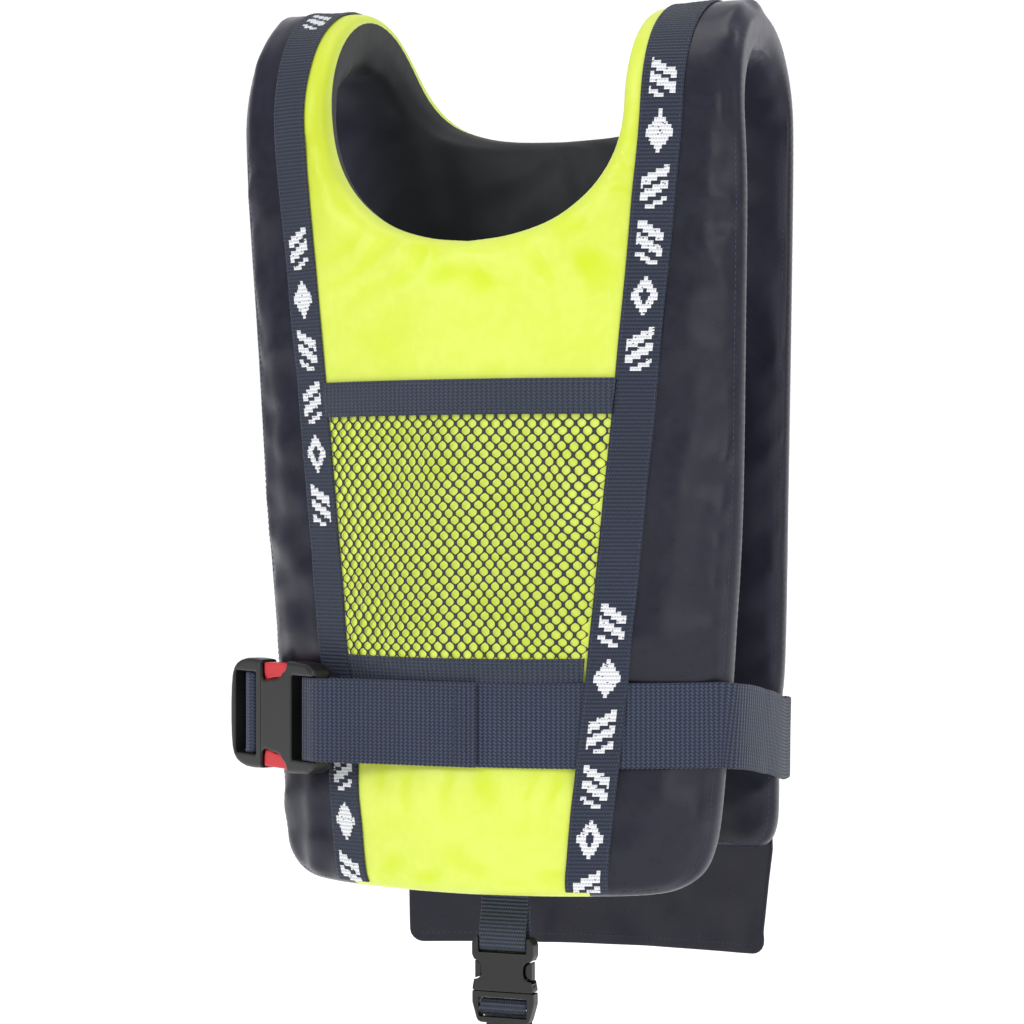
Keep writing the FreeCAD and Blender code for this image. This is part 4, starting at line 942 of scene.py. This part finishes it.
# ------------------------------------------------------------------ flat straps, stitches
def path_points(P, step):
    P = np.asarray(P, float)
    ext = np.vstack([2 * P[0] - P[1], P, 2 * P[-1] - P[-2]])
    out = []
    for i in range(1, len(ext) - 2):
        p0, p1, p2, p3 = ext[i - 1], ext[i], ext[i + 1], ext[i + 2]
        n = max(2, int(np.linalg.norm(p2 - p1) / 0.4))
        # centripetal spacing keeps tight turns from looping
        t0 = 0.0
        t1 = t0 + max(np.linalg.norm(p1 - p0), 1e-6) ** 0.5
        t2 = t1 + max(np.linalg.norm(p2 - p1), 1e-6) ** 0.5
        t3 = t2 + max(np.linalg.norm(p3 - p2), 1e-6) ** 0.5
        t = np.linspace(t1, t2, n, endpoint=False)[:, None]
        a1 = (t1 - t) / (t1 - t0) * p0 + (t - t0) / (t1 - t0) * p1
        a2 = (t2 - t) / (t2 - t1) * p1 + (t - t1) / (t2 - t1) * p2
        a3 = (t3 - t) / (t3 - t2) * p2 + (t - t2) / (t3 - t2) * p3
        b1 = (t2 - t) / (t2 - t0) * a1 + (t - t0) / (t2 - t0) * a2
        b2 = (t3 - t) / (t3 - t1) * a2 + (t - t1) / (t3 - t1) * a3
        out.append((t2 - t) / (t2 - t1) * b1 + (t - t1) / (t2 - t1) * b2)
    out.append(ext[-2][None, :])
    Q = np.vstack(out)
    s = np.concatenate([[0], np.cumsum(np.linalg.norm(np.diff(Q, axis=0), axis=1))])
    n = max(3, int(round(s[-1] / step)) + 1)
    u = np.linspace(0, s[-1], n)
    return np.stack([np.interp(u, s, Q[:, k]) for k in range(3)], 1), u


def strap_frames(P, step, wdir=(0, 0, 1), lean=None):
    S, u = path_points(P, step)
    t = np.gradient(S, axis=0)
    t /= np.linalg.norm(t, axis=1)[:, None]
    w = np.tile(np.asarray(wdir, float), (len(S), 1))
    if lean is not None:
        w[:, 1] = lean(S[:, 1])
    w -= t * (t * w).sum(1)[:, None]
    w /= np.linalg.norm(w, axis=1)[:, None]
    n = np.cross(t, w)
    return S, u, t, w, n


def strap(name, P, width, thick, mat, step=0.6, wdir=(0, 0, 1), lean=None, pitch=2.9, relief=0.14, sag=None):
    S, u, t, w, n = strap_frames(P, step, wdir, lean)
    h = width / 2
    c = np.linspace(-1, 1, 17) * (h - 0.7)
    cols = np.concatenate([[-h], [-h + 0.25], c, [h - 0.25], [h]])
    flat_ = np.concatenate([[0, 0], np.ones(len(c)), [0, 0]])
    body_ = relief * np.cos(2 * math.pi * u / pitch)[:, None] * flat_[None, :]
    drop = np.concatenate([[thick * 0.42, thick * 0.16], 0 * c, [thick * 0.16, thick * 0.42]])
    hgt = (thick / 2 - drop)[None, :] + body_
    # the edge yarns bob a little with every rib
    wide = cols[None, :] + 0.18 * np.cos(2 * math.pi * u / pitch)[:, None] * np.where(np.abs(cols) > h - 0.3, np.sign(cols), 0)[None, :]
    top = S[:, None, :] + w[:, None, :] * wide[..., None] + n[:, None, :] * hgt[..., None]
    bot = S[:, None, :] + w[:, None, :] * wide[..., None] - n[:, None, :] * hgt[..., None]
    if sag is not None:
        off = sag(S)[:, None, None] * n[:, None, :]
        top, bot = top + off, bot + off
    uv = np.stack([np.broadcast_to(cols * MM, top.shape[:2]), np.broadcast_to((u * MM)[:, None], top.shape[:2])], -1)
    o = slab(name, top, bot, uv, mat)
    fix_normals(o)
    return o


def stitches(name, rows, mat=None, length=2.3, gap=1.1, r=0.26):
    """Sewn threads: rows of (points in mm, outward normals), each stitch a small rounded bead lying on the cloth."""
    verts, faces = [], []
    for pts, nor in rows:
        pts, nor = np.asarray(pts, float), np.asarray(nor, float)
        s = np.concatenate([[0], np.cumsum(np.linalg.norm(np.diff(pts, axis=0), axis=1))])
        at = np.arange(gap, s[-1] - length, length + gap)
        for a in at:
            prof = ((0.0, 0.15, -0.5), (0.12, 0.9, 0.0), (0.5, 1.1, 0.5), (0.88, 0.9, 0.0), (1.0, 0.15, -0.5))
            base = len(verts)
            for f, rr, up in prof:
                q = a + f * length
                p = np.array([np.interp(q, s, pts[:, k]) for k in range(3)])
                m = np.array([np.interp(q, s, nor[:, k]) for k in range(3)])
                p2 = np.array([np.interp(min(q + 0.2, s[-1]), s, pts[:, k]) for k in range(3)])
                p1 = np.array([np.interp(max(q - 0.2, 0), s, pts[:, k]) for k in range(3)])
                t = (p2 - p1) / (np.linalg.norm(p2 - p1) + 1e-9)
                b = np.cross(t, m)
                b /= np.linalg.norm(b) + 1e-9
                for j in range(6):
                    g = math.pi * 2 * j / 6
                    verts.append((p + m * (r * up * 0.5 + r * rr * math.sin(g)) + b * (r * rr * math.cos(g))) * MM)
            for i in range(4):
                for j in range(6):
                    k2 = (j + 1) % 6
                    faces.append((base + i * 6 + j, base + i * 6 + k2, base + (i + 1) * 6 + k2, base + (i + 1) * 6 + j))
    o = mesh_object(name, verts, faces)
    o.data.materials.append(mat or THREAD)
    return o


def fp(t_deg, off, z):
    t = math.radians(t_deg)
    r = FRO + off
    return (r * math.sin(t), FCO - r * math.cos(t), z)


BU_A = math.radians(180.0 - 33.0)
BU_P = np.array(fp(-33.0, 0.0, Z_BELT))
BU_L = np.array([math.cos(BU_A), math.sin(BU_A), 0.0])
BU_N = np.array([-math.sin(BU_A), math.cos(BU_A), 0.0])


def bl(l, n, z=0.0):
    return tuple(BU_P + BU_L * l + BU_N * n + np.array([0, 0, z]))


def bp(x, off, z):
    t = math.asin(x / 360.0)
    r = 360.0 + off
    return (r * math.sin(t), -235.0 + r * math.cos(t) - z * math.sin(TILT), z)


# ------------------------------------------------------------------ waist belt
zf, zbk_ = Z_BELT, Z_BELT_BACK
zm_ = (zf + zbk_) / 2
fold = [fp(3.0, 4.1, zf), fp(-5.0, 4.1, zf), fp(-12.0, 7.6, zf), fp(-17.0, 13.5, zf), bl(-51.5, 15.5), bl(-42.0, 15.6)]
turn = [bl(-38.0, 15.9), bl(-35.8, 14.4), bl(-35.3, 10.0), bl(-35.8, 5.6), bl(-38.0, 4.0)]
under = [bl(-42.0, 4.2), bl(-51.5, 4.3), fp(-16.0, 5.6, zf), fp(-9.0, 2.3, zf), fp(-3.0, 1.35, zf)]
on = [fp(5.0, 1.15, zf)] + [fp(t, 1.1, zf) for t in (12, 19, 26, 32)] + [fp(36.5, 1.5, zf), fp(39.3, 2.6, zf)]
side_p = [(152.6, -28.6, zf - 1.0), (155.6, -19.0, zf - 2.0), (157.6, -4.0, zf - 4.0), (158.6, 10.0, zf - 6.5), (159.0, 23.0, zm_)]
back_l = [(158.2, 45.0, zbk_ + 4), (153.0, 70.0, zbk_ + 1), (150.0, 88.0, zbk_), (148.0, 97.4, zbk_), (144.0, 103.6, zbk_)] + [bp(x, 1.1, zbk_) for x in (135, 114, 90, 60, 30, 0.2)]
kk_ = math.tan(TILT)
lean = lambda y: kk_ * np.clip((y - 30.0) / 55.0, 0, 1)
belt_l = strap("waist_belt_left", fold + turn + under + on + side_p + back_l, 50.0, 1.8, BELT, lean=lean)
fold_blend(belt_l)
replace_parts(belt_l, "belt_front", "belt_back")
mir = [bp(-0.2, 1.1, zbk_)] + [(-p[0], p[1], p[2]) for p in [bp(x, 1.1, zbk_) for x in (30, 60, 90, 114, 135)]]
back_r = mir + [(-144.0, 103.6, zbk_), (-148.0, 97.4, zbk_), (-150.0, 88.0, zbk_), (-153.0, 70.0, zbk_ + 1), (-161.5, 45.0, zbk_ + 4), (-161.5, 27.0, zm_)]
belt_r = strap("waist_belt_right", back_r, 50.0, 1.8, BELT, lean=lean)
fold_blend(belt_r)
tail = [(-161.8, 24.0, zm_), (-162.8, 4.0, zf - 4.5), (-164.6, -12.0, zf - 2.0), (-168.2, -21.5, zf - 0.5), bl(51.5, 6.2), bl(42.0, 6.0), bl(38.2, 7.6), bl(37.0, 10.0),
        bl(36.0, 12.4), bl(32.5, 13.4), bl(29.0, 12.4), bl(27.8, 10.0), bl(27.2, 7.6), bl(24.5, 5.2)]
belt_t = strap("waist_belt_tail", tail, 50.0, 1.8, BELT)
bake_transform(belt_t)
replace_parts(belt_t, "belt_side_strap_right", "belt_adjuster_loop")

# the belt's doubled end is sewn down
rows = []
for t_deg in (1.6, -0.2):
    p = [np.array(fp(t_deg, 5.1, zf + z)) for z in np.linspace(-22.5, 22.5, 46)]
    nrm = np.array(fp(t_deg, 6.0, 0)) - np.array(fp(t_deg, 5.0, 0))
    rows.append((p, [nrm] * len(p)))
st = stitches("belt_end_stitches", rows, length=2.4, gap=1.0, r=0.32)
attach(st, "front")

# ------------------------------------------------------------------ pocket: two bands and a net
pz_top, pz_bot = 78.0, -98.5
gxp = np.linspace(-96, 96, 97)
gzp = np.linspace(pz_bot - 10, pz_top + 4, 94)
PX, PZ = np.meshgrid(gxp, gzp)
SK = skin(PX, PZ, 0.0, np.full(PX.shape, 40.0))
OFF = np.hypot(SK[..., 0], FCO - SK[..., 1]) - FRO


def blur(a, n):
    for _ in range(n):
        a = np.pad(a, 1, mode="edge")
        a = 0.36 * a[1:-1, 1:-1] + 0.16 * (a[:-2, 1:-1] + a[2:, 1:-1] + a[1:-1, :-2] + a[1:-1, 2:])
    return a


OFF_S = blur(OFF, 60)
lift = np.maximum(OFF - OFF_S, 0)
OFF_N = blur(np.maximum(OFF_S, OFF) + 0.25, 6)
print("pocket skin offset", round(float(OFF.min()), 2), round(float(OFF.max()), 2))


def over_skin(x, z, h, table):
    """Point h mm over the pocket's ground, x measured straight across."""
    x, z = np.broadcast_arrays(np.asarray(x, float), np.asarray(z, float))
    gx = np.clip((x - gxp[0]) / (gxp[1] - gxp[0]), 0, len(gxp) - 1.001)
    gz = np.clip((z - gzp[0]) / (gzp[1] - gzp[0]), 0, len(gzp) - 1.001)
    i, j = gz.astype(int), gx.astype(int)
    a, b = gz - i, gx - j
    o = table[i, j] * (1 - a) * (1 - b) + table[i + 1, j] * a * (1 - b) + table[i, j + 1] * (1 - a) * b + table[i + 1, j + 1] * a * b
    r = FRO + o + h
    t = np.arcsin(np.clip(x / FRO, -0.99, 0.99))
    return np.stack([r * np.sin(t), FCO - r * np.cos(t), z + 0 * x], -1)


def band_piece(name, z0, z1, h0, thick, bow=0.0):
    e0, e1 = 96.5 + 0.1 * z0 - 12.9, 96.5 + 0.1 * z1 - 12.9
    rr = np.linspace(0, 1, 11)
    rows_z = np.concatenate([[0], [0.012], 0.03 + 0.94 * rr, [0.988], [1]])
    drop = np.concatenate([[0.42 * thick, 0.16 * thick], 0 * rr, [0.16 * thick, 0.42 * thick]])
    u = np.linspace(-1, 1, 301)
    rel = 0.13 * np.cos(2 * math.pi * u * 90.0 / 2.9)[None, :] * np.concatenate([[0, 0], np.ones(11), [0, 0]])[:, None]
    Z = z1 + (z0 - z1) * rows_z[:, None] + 0 * u[None, :]
    X = u[None, :] * (e1 + (e0 - e1) * rows_z)[:, None]
    Z = Z - bow * (1 - u[None, :] ** 2)
    tab = OFF_N
    top = over_skin(X, Z, (h0 + thick - drop)[:, None] + rel, tab)
    bot = over_skin(X, Z, (h0 + drop * 0.6)[:, None], tab)
    uv = np.stack([Z * MM, X * MM], -1)
    o = slab(name, top, bot, uv, BAND)
    fix_normals(o)
    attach(o, "front")
    return o


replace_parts(band_piece("pocket_band_top", pz_top - 21.0, pz_top, 1.35, 1.6), "pocket_top_band")
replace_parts(band_piece("pocket_band_bottom", pz_bot - 6.0, pz_bot + 13.2, 0.35, 1.5, 0.6), "pocket_bottom_band")
rows = []
for z, h, tab in ((pz_top - 2.2, 3.0, OFF_N), (pz_top - 18.8, 3.0, OFF_N), (pz_bot + 10.8, 1.9, OFF_N)):
    e = 96.5 + 0.1 * z - 15
    x = np.linspace(-e, e, 200)
    p = over_skin(x, z - (0.6 * (1 - (x / e) ** 2) if z < 0 else 0), h, tab)
    m = over_skin(x, z, h + 1.0, tab) - over_skin(x, z, h, tab)
    rows.append((p, m))
for z0, z1, h in ((pz_top - 19, pz_top - 2, 3.0),):
    for sgn in (-1, 1):
        z = np.linspace(z0, z1, 20)
        e = sgn * (96.5 + 0.1 * z - 15)
        p = over_skin(e, z, h, OFF_N)
        rows.append((p, over_skin(e, z, h + 1.0, OFF_N) - p))
o = stitches("pocket_stitches", rows, length=2.2, gap=1.0, r=0.28)
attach(o, "front")


def pocket_net():
    a, b = 7.0, 4.37
    hx, hy0, hy1 = a / 2, 0.755, 3.62
    q = (hx * hx + b * b) / 2
    hy0, hy1 = (q - hx * hx) / b, q / b
    corner = [(hx, 0), (hx, hy0), (2 * hx / 3, hy0 + (hy1 - hy0) / 3), (hx / 3, hy0 + 2 * (hy1 - hy0) / 3), (0, hy1)]
    quarter = corner
    outer = quarter + [(-x, y) for x, y in quarter[:-1][::-1]] + [(-x, -y) for x, y in quarter[1:]] + [(x, -y) for x, y in quarter[1:-1][::-1]]
    outer = np.array(outer)
    ang = np.arctan2(outer[:, 1], outer[:, 0])
    nd = np.array([hx, b]) / math.hypot(hx, b)

    def r_hole(t):
        c, s_ = abs(math.cos(t)), abs(math.sin(t))
        r = []
        if c > 1e-6:
            r.append(2.45 / c)
        dn = c * nd[0] + s_ * nd[1]
        r.append(2.36 / dn)
        r = min(r)
        return min(r, 2.8)
    hole = np.array([[r_hole(t) * math.cos(t), r_hole(t) * math.sin(t)] for t in ang])
    mid = outer * 0.52 + hole * 0.48
    n = len(outer)
    pts, faces, index = [], [], {}

    def vid(x, z, layer, key=None):
        k = (round(x, 3), round(z, 3), layer)
        if k not in index:
            index[k] = len(pts)
            pts.append((x, z, layer))
        return index[k]
    rows_n = int((57.0 + 86.0) / b) + 2
    for j in range(rows_n):
        z = 56.0 - j * b
        lim = 96.5 + 0.1 * z - 12.0
        cols_n = int(lim / a) + 1
        for i in range(-cols_n, cols_n + 1):
            x = (i + (0.5 if j % 2 else 0.0)) * a
            if abs(x) > lim - 1.0 or z < -88:
                continue
            O = [(x + p[0], z + p[1]) for p in outer]
            M = [(x + p[0], z + p[1]) for p in mid]
            Hh = [(x + p[0], z + p[1]) for p in hole]
            for k in range(n):
                m2 = (k + 1) % n
                for up in (1, -1):
                    f1 = [vid(*O[k], 3 * up), vid(*O[m2], 3 * up), vid(*M[m2], 2 * up), vid(*M[k], 2 * up)]
                    f2 = [vid(*M[k], 2 * up), vid(*M[m2], 2 * up), vid(*Hh[m2], 0), vid(*Hh[k], 0)]
                    if up < 0:
                        f1, f2 = f1[::-1], f2[::-1]
                    faces.append(f1)
                    faces.append(f2)
    arr = np.array(pts)
    x, z, lay = arr[:, 0], arr[:, 1], arr[:, 2]
    w = np.stack([x, z], 1)
    top_fade = smooth(0, 14, 57 - z) * smooth(0, 14, z + 86)
    x2 = x + (0.8 * value_noise(w, 80.0, 31) + 0.18 * value_noise(w, 16.0, 32)) * top_fade
    z2 = z + (1.0 * value_noise(w, 90.0, 33) + 0.18 * value_noise(w, 15.0, 34)) * top_fade
    hgt = np.where(lay == 3, 0.40, np.where(lay == 2, 0.34, np.where(lay == -2, -0.34, np.where(lay == -3, -0.40, 0.0))))
    bulge = 1.2 * top_fade * np.clip(1 - (x / 86.0) ** 2, 0, 1)
    keep = z2 < 58.2
    P = over_skin(x2, np.minimum(z2, 58.0), 0.95 + bulge + hgt + 0.25 * value_noise(w, 24.0, 35) * top_fade, OFF_N)
    o = mesh_object("pocket_net", P * MM, faces)
    o.data.materials.append(NET)
    fix_normals(o)
    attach(o, "front")
    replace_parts(o, "pocket_mesh")
    return o


pocket_net()

# ------------------------------------------------------------------ skirt under the back panel
def skirt():
    # left side runs in towards the hem, right side is upright, and the hem drops to the right
    side_l = lambda z: 136.5 - 8.0 * np.clip((-214.8 - z) / 58.0, 0, 1)
    side_r = lambda z: -121.0 + 0 * z
    us = np.concatenate([[0, 0.0024], np.linspace(0.008, 0.992, 128), [0.9976, 1]])
    ws = np.concatenate([[0, 0.007], np.linspace(0.02, 1.0, 56)])
    U, W = np.meshgrid(us, ws)
    hem_z = lambda x: -284.3 + 0.0235 * x
    Z = -284.0 + W * 82.0
    X = side_r(Z) * (1 - U) + side_l(Z) * U
    HZ = hem_z(X)
    Z = HZ + W * (-202.0 - HZ)
    X = side_r(Z) * (1 - U) + side_l(Z) * U
    room = np.minimum(X - side_r(Z), side_l(Z) - X)
    # rounded lower corners
    c = np.clip((9.0 - room) / 9.0, 0, 1)
    Z = Z + 9.0 * (1 - np.sqrt(np.maximum(1 - c ** 2, 0))) * (1 - W)
    low = np.clip((-214.0 - Z) / 60.0, 0, 1)
    w2 = np.stack([X.ravel(), Z.ravel()], 1)
    wave_ = (0.8 * np.sin(X / 19.0 + 1.3 * value_noise(w2, 70.0, 41).reshape(X.shape)) + 0.3 * value_noise(w2, 44.0, 42).reshape(X.shape)) * low
    hem = 0.35 * np.exp(-((W * 82.0 - 5.5) / 1.2) ** 2) + 0.35 * np.exp(-((room - 5.5) / 1.2) ** 2)
    r = 360.0 - 3.8 + wave_
    t = np.arcsin(X / 360.0)

    def at(rr):
        y = -235.0 + rr * np.cos(t)
        y = y - Z * math.sin(TILT)
        return np.stack([rr * np.sin(t), y, Z], -1)
    edge = np.minimum(np.minimum(room, W * 82.0), 1.2) / 1.2
    th = 0.35 + 0.45 * np.sqrt(np.clip(edge, 0, 1))
    top, bot = at(r + th - hem), at(r - th)
    uv = np.stack([X * MM, Z * MM], -1)
    o = slab("skirt_cloth", top, bot, uv, NAVY)
    fix_normals(o)
    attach(o, "back")
    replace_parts(o, "back_skirt")
    rows = []
    k = int(np.argmin(np.abs(ws * 82.0 - 5.5)))
    for sgn in (1, -1):
        base_ = (top if sgn > 0 else bot)[k]
        x = np.linspace(-115, 122, 300)
        p = np.stack([np.interp(x, X[k], base_[:, q]) for q in range(3)], 1)
        rows.append((p, [(0, sgn, 0)] * len(x)))
    st = stitches("skirt_stitches", rows, length=2.4, gap=1.2, r=0.25)
    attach(st, "back")


skirt()

# ------------------------------------------------------------------ crotch strap
cx, cy, cz = 10.0, -36.0, -255.5
anchor = [(cx, -42.8, -190.0), (cx, -42.8, -205.0), (cx, -42.0, -216.0), (cx, -39.5, -223.0), (cx, cy - 0.6, -230.0)]
up = anchor + [(cx, cy - 1.0, -238.0), (cx, cy - 4.0, cz + 3.0), (cx, cy - 4.1, cz - 3.0), (cx, cy - 3.7, cz - 6.4), (cx, cy - 1.9, cz - 7.7), (cx, cy, cz - 8.0),
               (cx, cy + 1.9, cz - 7.7), (cx, cy + 3.7, cz - 6.4), (cx, cy + 4.1, cz - 3.0), (cx, cy + 4.0, cz + 3.0), (cx, cy + 3.4, cz + 9.0), (cx, cy + 2.6, cz + 19.0)]
o = strap("crotch_web_upper", up, 30.0, 1.7, STRAP, step=0.45, wdir=(1, 0, 0), pitch=2.3, relief=0.12)
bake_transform(o)
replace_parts(o, "crotch_strap_anchor", "crotch_strap_upper")
lower = [(cx, cy + 1.2, cz - 38.4), (cx, cy - 1.6, cz - 39.3), (cx, cy - 3.3, cz - 41.0), (cx, cy - 3.5, cz - 43.0), (cx, cy - 1.8, cz - 45.2),
         (cx, cy + 1.6, cz - 47.0), (cx, cy + 6.4, cz - 50.5), (cx, cy + 6.2, cz - 58.0), (cx, cy + 3.0, cz - 72.0), (cx, cy + 1.0, -340.0), (cx, cy, -400.0)]
o = strap("crotch_web_lower", lower, 30.0, 1.7, STRAP, step=0.45, wdir=(1, 0, 0), pitch=2.3, relief=0.12)
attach(o, "crotch_male")
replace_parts(o, "crotch_strap_lower")

# ------------------------------------------------------------------ sewing along the tapes
def tape_rows(T, B):
    rows = []
    for c in (2, -3):
        p = T[::3, c]
        m = T[::3, c] - B[::3, c]
        m = m / np.linalg.norm(m, axis=1)[:, None]
        rows.append((p - m * 0.05, m))
    return rows


def edge_rows(d, lift, inner=False):
    """Rows along both arm edges at d mm in from the edge, on the outer face or on the back's inner face."""
    loop = offset_loop(OUTER, so * d, 2.5)
    x, l = loop[:, 0], loop[:, 1]
    keep = (np.abs(x) > tape_x(l) + 17) & (((l < 222) & (not inner)) | (l > L_BACK0 + 10))
    rows, run = [], []
    start = int(np.argmin(keep))
    for i in list(range(start, len(loop))) + list(range(start)):
        if keep[i]:
            run.append(i)
        elif run:
            rows.append(run)
            run = []
    if run:
        rows.append(run)
    out = []
    for r in rows:
        if len(r) < 12:
            continue
        if inner:
            p = place(x[r], l[r], -1.0, profile(np.full(len(r), d)))
            q = p - (place(x[r], l[r], 1.0) - place(x[r], l[r], -1.0)) * 0.05
        else:
            p = skin(x[r], l[r], 0.0, np.full(len(r), d))
            q = skin(x[r], l[r], 1.0, np.full(len(r), d))
        n = q - p
        n /= np.linalg.norm(n, axis=1)[:, None]
        # lie on the finished cloth itself
        pts, nor = [], []
        for a, b in zip(p, n):
            hit = BODY_BVH.ray_cast(Vector((a + b * 6.0) * MM), Vector(-b), 0.012)
            if hit[0] is not None:
                pts.append(np.array(hit[0]) / MM + np.array(hit[1]) * lift)
                nor.append(np.array(hit[1]))
        if len(pts) > 12:
            pts = np.array(pts)
            for _ in range(2):
                pts[1:-1] = 0.25 * pts[:-2] + 0.5 * pts[1:-1] + 0.25 * pts[2:]
            out.append((pts, nor))
    return out


o = stitches("edge_stitches", edge_rows(3.4, 0.05) + edge_rows(4.2, 0.05, True), length=2.2, gap=1.5, r=0.24)
fold_blend(o)

o = stitches("tape_stitches", tape_rows(*TL) + tape_rows(*TR), length=2.3, gap=1.2, r=0.24)
fold_blend(o)


# ------------------------------------------------------------------ studio
def stage_and_camera():
    fl = mesh_object("floor", [(-6, -4, -0.41), (6, -4, -0.41), (6, 4, -0.41), (-6, 4, -0.41), (-6, 5.0, 0.0), (6, 5.0, 0.0), (-6, 5.4, 4.5), (6, 5.4, 4.5)],
                     [(0, 1, 2, 3), (3, 2, 5, 4), (4, 5, 7, 6)])
    m, nt, bsdf = material("pale_floor")
    tc = node(nt, "ShaderNodeTexCoord").outputs["Object"]
    n = noise_node(nt, tc, 1.5, 3.0)
    nt.links.new(mix_colour(nt, n, (0.93, 0.93, 0.93, 1), (0.97, 0.97, 0.97, 1)), bsdf.inputs["Base Color"])
    bsdf.inputs["Roughness"].default_value = 0.9
    bsdf.inputs["Emission Color"].default_value = (1, 1, 1, 1)
    bsdf.inputs["Emission Strength"].default_value = 0.3
    fl.data.materials.append(m)
    cam = bpy.data.objects.new("camera", bpy.data.cameras.new("camera"))
    scene.collection.objects.link(cam)
    cam.data.lens, cam.data.sensor_width = 100.0, 36.0
    a = math.radians(22.0)
    cam.location = (1.75 * math.sin(a), -1.75 * math.cos(a), 0.0)
    cam.rotation_euler = (math.pi / 2, 0.0, a)
    scene.camera = cam
    for name, loc, energy, size in (("key", (-1.3, -2.6, 1.6), 33.0, 1.1), ("fill", (2.8, -1.6, 0.7), 15.0, 1.6), ("top", (0.3, -0.2, 2.8), 20.0, 1.8), ("rim", (1.6, 2.0, 1.2), 7.0, 1.2)):
        ld = bpy.data.lights.new(name, "AREA")
        ld.energy, ld.size = energy, size
        lo = bpy.data.objects.new(name, ld)
        lo.location = loc
        lo.rotation_euler = (-Vector(loc)).to_track_quat("-Z", "Y").to_euler()
        scene.collection.objects.link(lo)
    w = bpy.data.worlds.new("studio")
    scene.world = w
    w.use_nodes = True
    w.node_tree.nodes["Background"].inputs[0].default_value = (1, 1, 1, 1)
    wt = w.node_tree
    d = node(wt, "ShaderNodeSeparateXYZ", {0: node(wt, "ShaderNodeTexCoord").outputs["Generated"]}).outputs[0]
    wt.links.new(math_node(wt, "MULTIPLY_ADD", math_node(wt, "MULTIPLY_ADD", d, -1.4, -0.35, True), -0.36, 0.74), wt.nodes["Background"].inputs[1])
    scene.view_settings.view_transform = "Standard"


stage_and_camera()

# ------------------------------------------------------------------ buckles: moulded parts with soft edges
WING = [(11.3, 31.9), (11.3, 25.2), (10.6, 23.2), (8.8, 22.0), (6.0, 21.8), (0.0, 22.9), (-7.0, 24.8), (-13.0, 26.9), (-17.0, 29.2), (-18.4, 31.9)]
WINDOW = [(12.1, 37.0), (12.1, 24.9), (11.2, 22.6), (9.1, 21.3), (6.0, 21.0), (-0.2, 22.1), (-7.3, 24.0), (-13.4, 26.1), (-17.6, 28.4), (-19.3, 31.9), (-19.3, 37.0)]


def prism(name, outline, n0, n1, sgn):
    """Closed prism in the belt buckle's own frame from an outline of (along, up) points."""
    k = len(outline)
    verts = [[c * MM for c in bl(l, n, sgn * z)] for n in (n0, n1) for l, z in outline]
    faces = [tuple(range(k)), tuple(range(2 * k - 1, k - 1, -1))] + [(i, i + k, (i + 1) % k + k, (i + 1) % k) for i in range(k)]
    o = mesh_object(name, verts, faces)
    fix_normals(o)
    return o


def moulded(node_name, body_name, mat, voxel=0.00055, rounds=5, add=None, cut=()):
    """Closed skin grown over the plain half of a buckle, its edges eased as a moulding's are."""
    src = frame["nodes"][node_name]
    me = src.data.copy()
    me.transform(src.matrix_world)
    if add is not None:
        bm = bmesh.new()
        bm.from_mesh(me)
        bm.from_mesh(add.data)
        bm.to_mesh(me)
        bm.free()
        bpy.data.objects.remove(add)
    o = bpy.data.objects.new("moulded_" + node_name, me)
    scene.collection.objects.link(o)
    r = o.modifiers.new("skin", "REMESH")
    r.mode, r.voxel_size, r.use_smooth_shade = "VOXEL", voxel, True
    for c in cut:
        b = o.modifiers.new("window", "BOOLEAN")
        b.operation, b.solver, b.object = "DIFFERENCE", "EXACT", c
    if cut:
        r = o.modifiers.new("skin2", "REMESH")
        r.mode, r.voxel_size, r.use_smooth_shade = "VOXEL", voxel, True
    sm = o.modifiers.new("ease", "SMOOTH")
    sm.factor, sm.iterations = 0.5, rounds
    bpy.context.view_layer.update()
    out = bpy.data.meshes.new_from_object(o.evaluated_get(bpy.context.evaluated_depsgraph_get()))
    o.modifiers.clear()
    o.data = out
    for c in cut:
        bpy.data.objects.remove(c)
    if node_name == "buckle_male":
        # a narrow dark seam shows where the two halves meet
        p = coords(out)
        l = (p - BU_P * MM) @ BU_L / MM
        w = np.clip((15.0 - l) / 1.2, 0, 1) * np.clip((l - 12.4) / 0.4, 0, 1)
        p = p + (w * 0.55 * MM)[:, None] * BU_L
        out.vertices.foreach_set("co", p.astype(np.float32).ravel())
        out.update()
    out.materials.clear()
    out.materials.append(mat)
    out.shade_smooth()
    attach(o, body_name)
    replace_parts(o, node_name)
    print("moulded", node_name, len(out.polygons))
    return o


moulded("buckle_female", "front", CHARCOAL, 0.00055, 9, cut=[prism("window_up", WINDOW, 1.0, 19.0, 1), prism("window_low", WINDOW, 1.0, 19.0, -1)])
moulded("buckle_male", "buckle_male", CHARCOAL, 0.00055, 9)
for nn, bb in (("crotch_buckle_female", "crotch_strap"), ("crotch_buckle_male", "crotch_male")):
    moulded(nn, bb, CHARCOAL, 0.0004, 4)
for nn, bb in (("crotch_prong_left", "crotch_prong_left"), ("crotch_prong_right", "crotch_prong_right")):
    moulded(nn, bb, CHARCOAL, 0.0004, 3)
for nn, bb, sgn in (("release_tab_upper", "tab_upper", 1), ("release_tab_lower", "tab_lower", -1)):
    moulded(nn, bb, RED, 0.0005, 4, add=prism("wing", WING, 5.6, 14.7, sgn))

for n, o in frame["nodes"].items():
    slot_of = {s["node"]: s["material_slot"] for s in frame["record"]["subparts"]}[n]
    mat = {"buckle": CHARCOAL, "release_red": RED, "webbing": STRAP, "cover_navy": NAVY, "cover_yellow": YELLOW, "lining": LINING, "net": NET}.get(slot_of)
    if mat is not None:
        o.data.materials.clear()
        o.data.materials.append(mat)
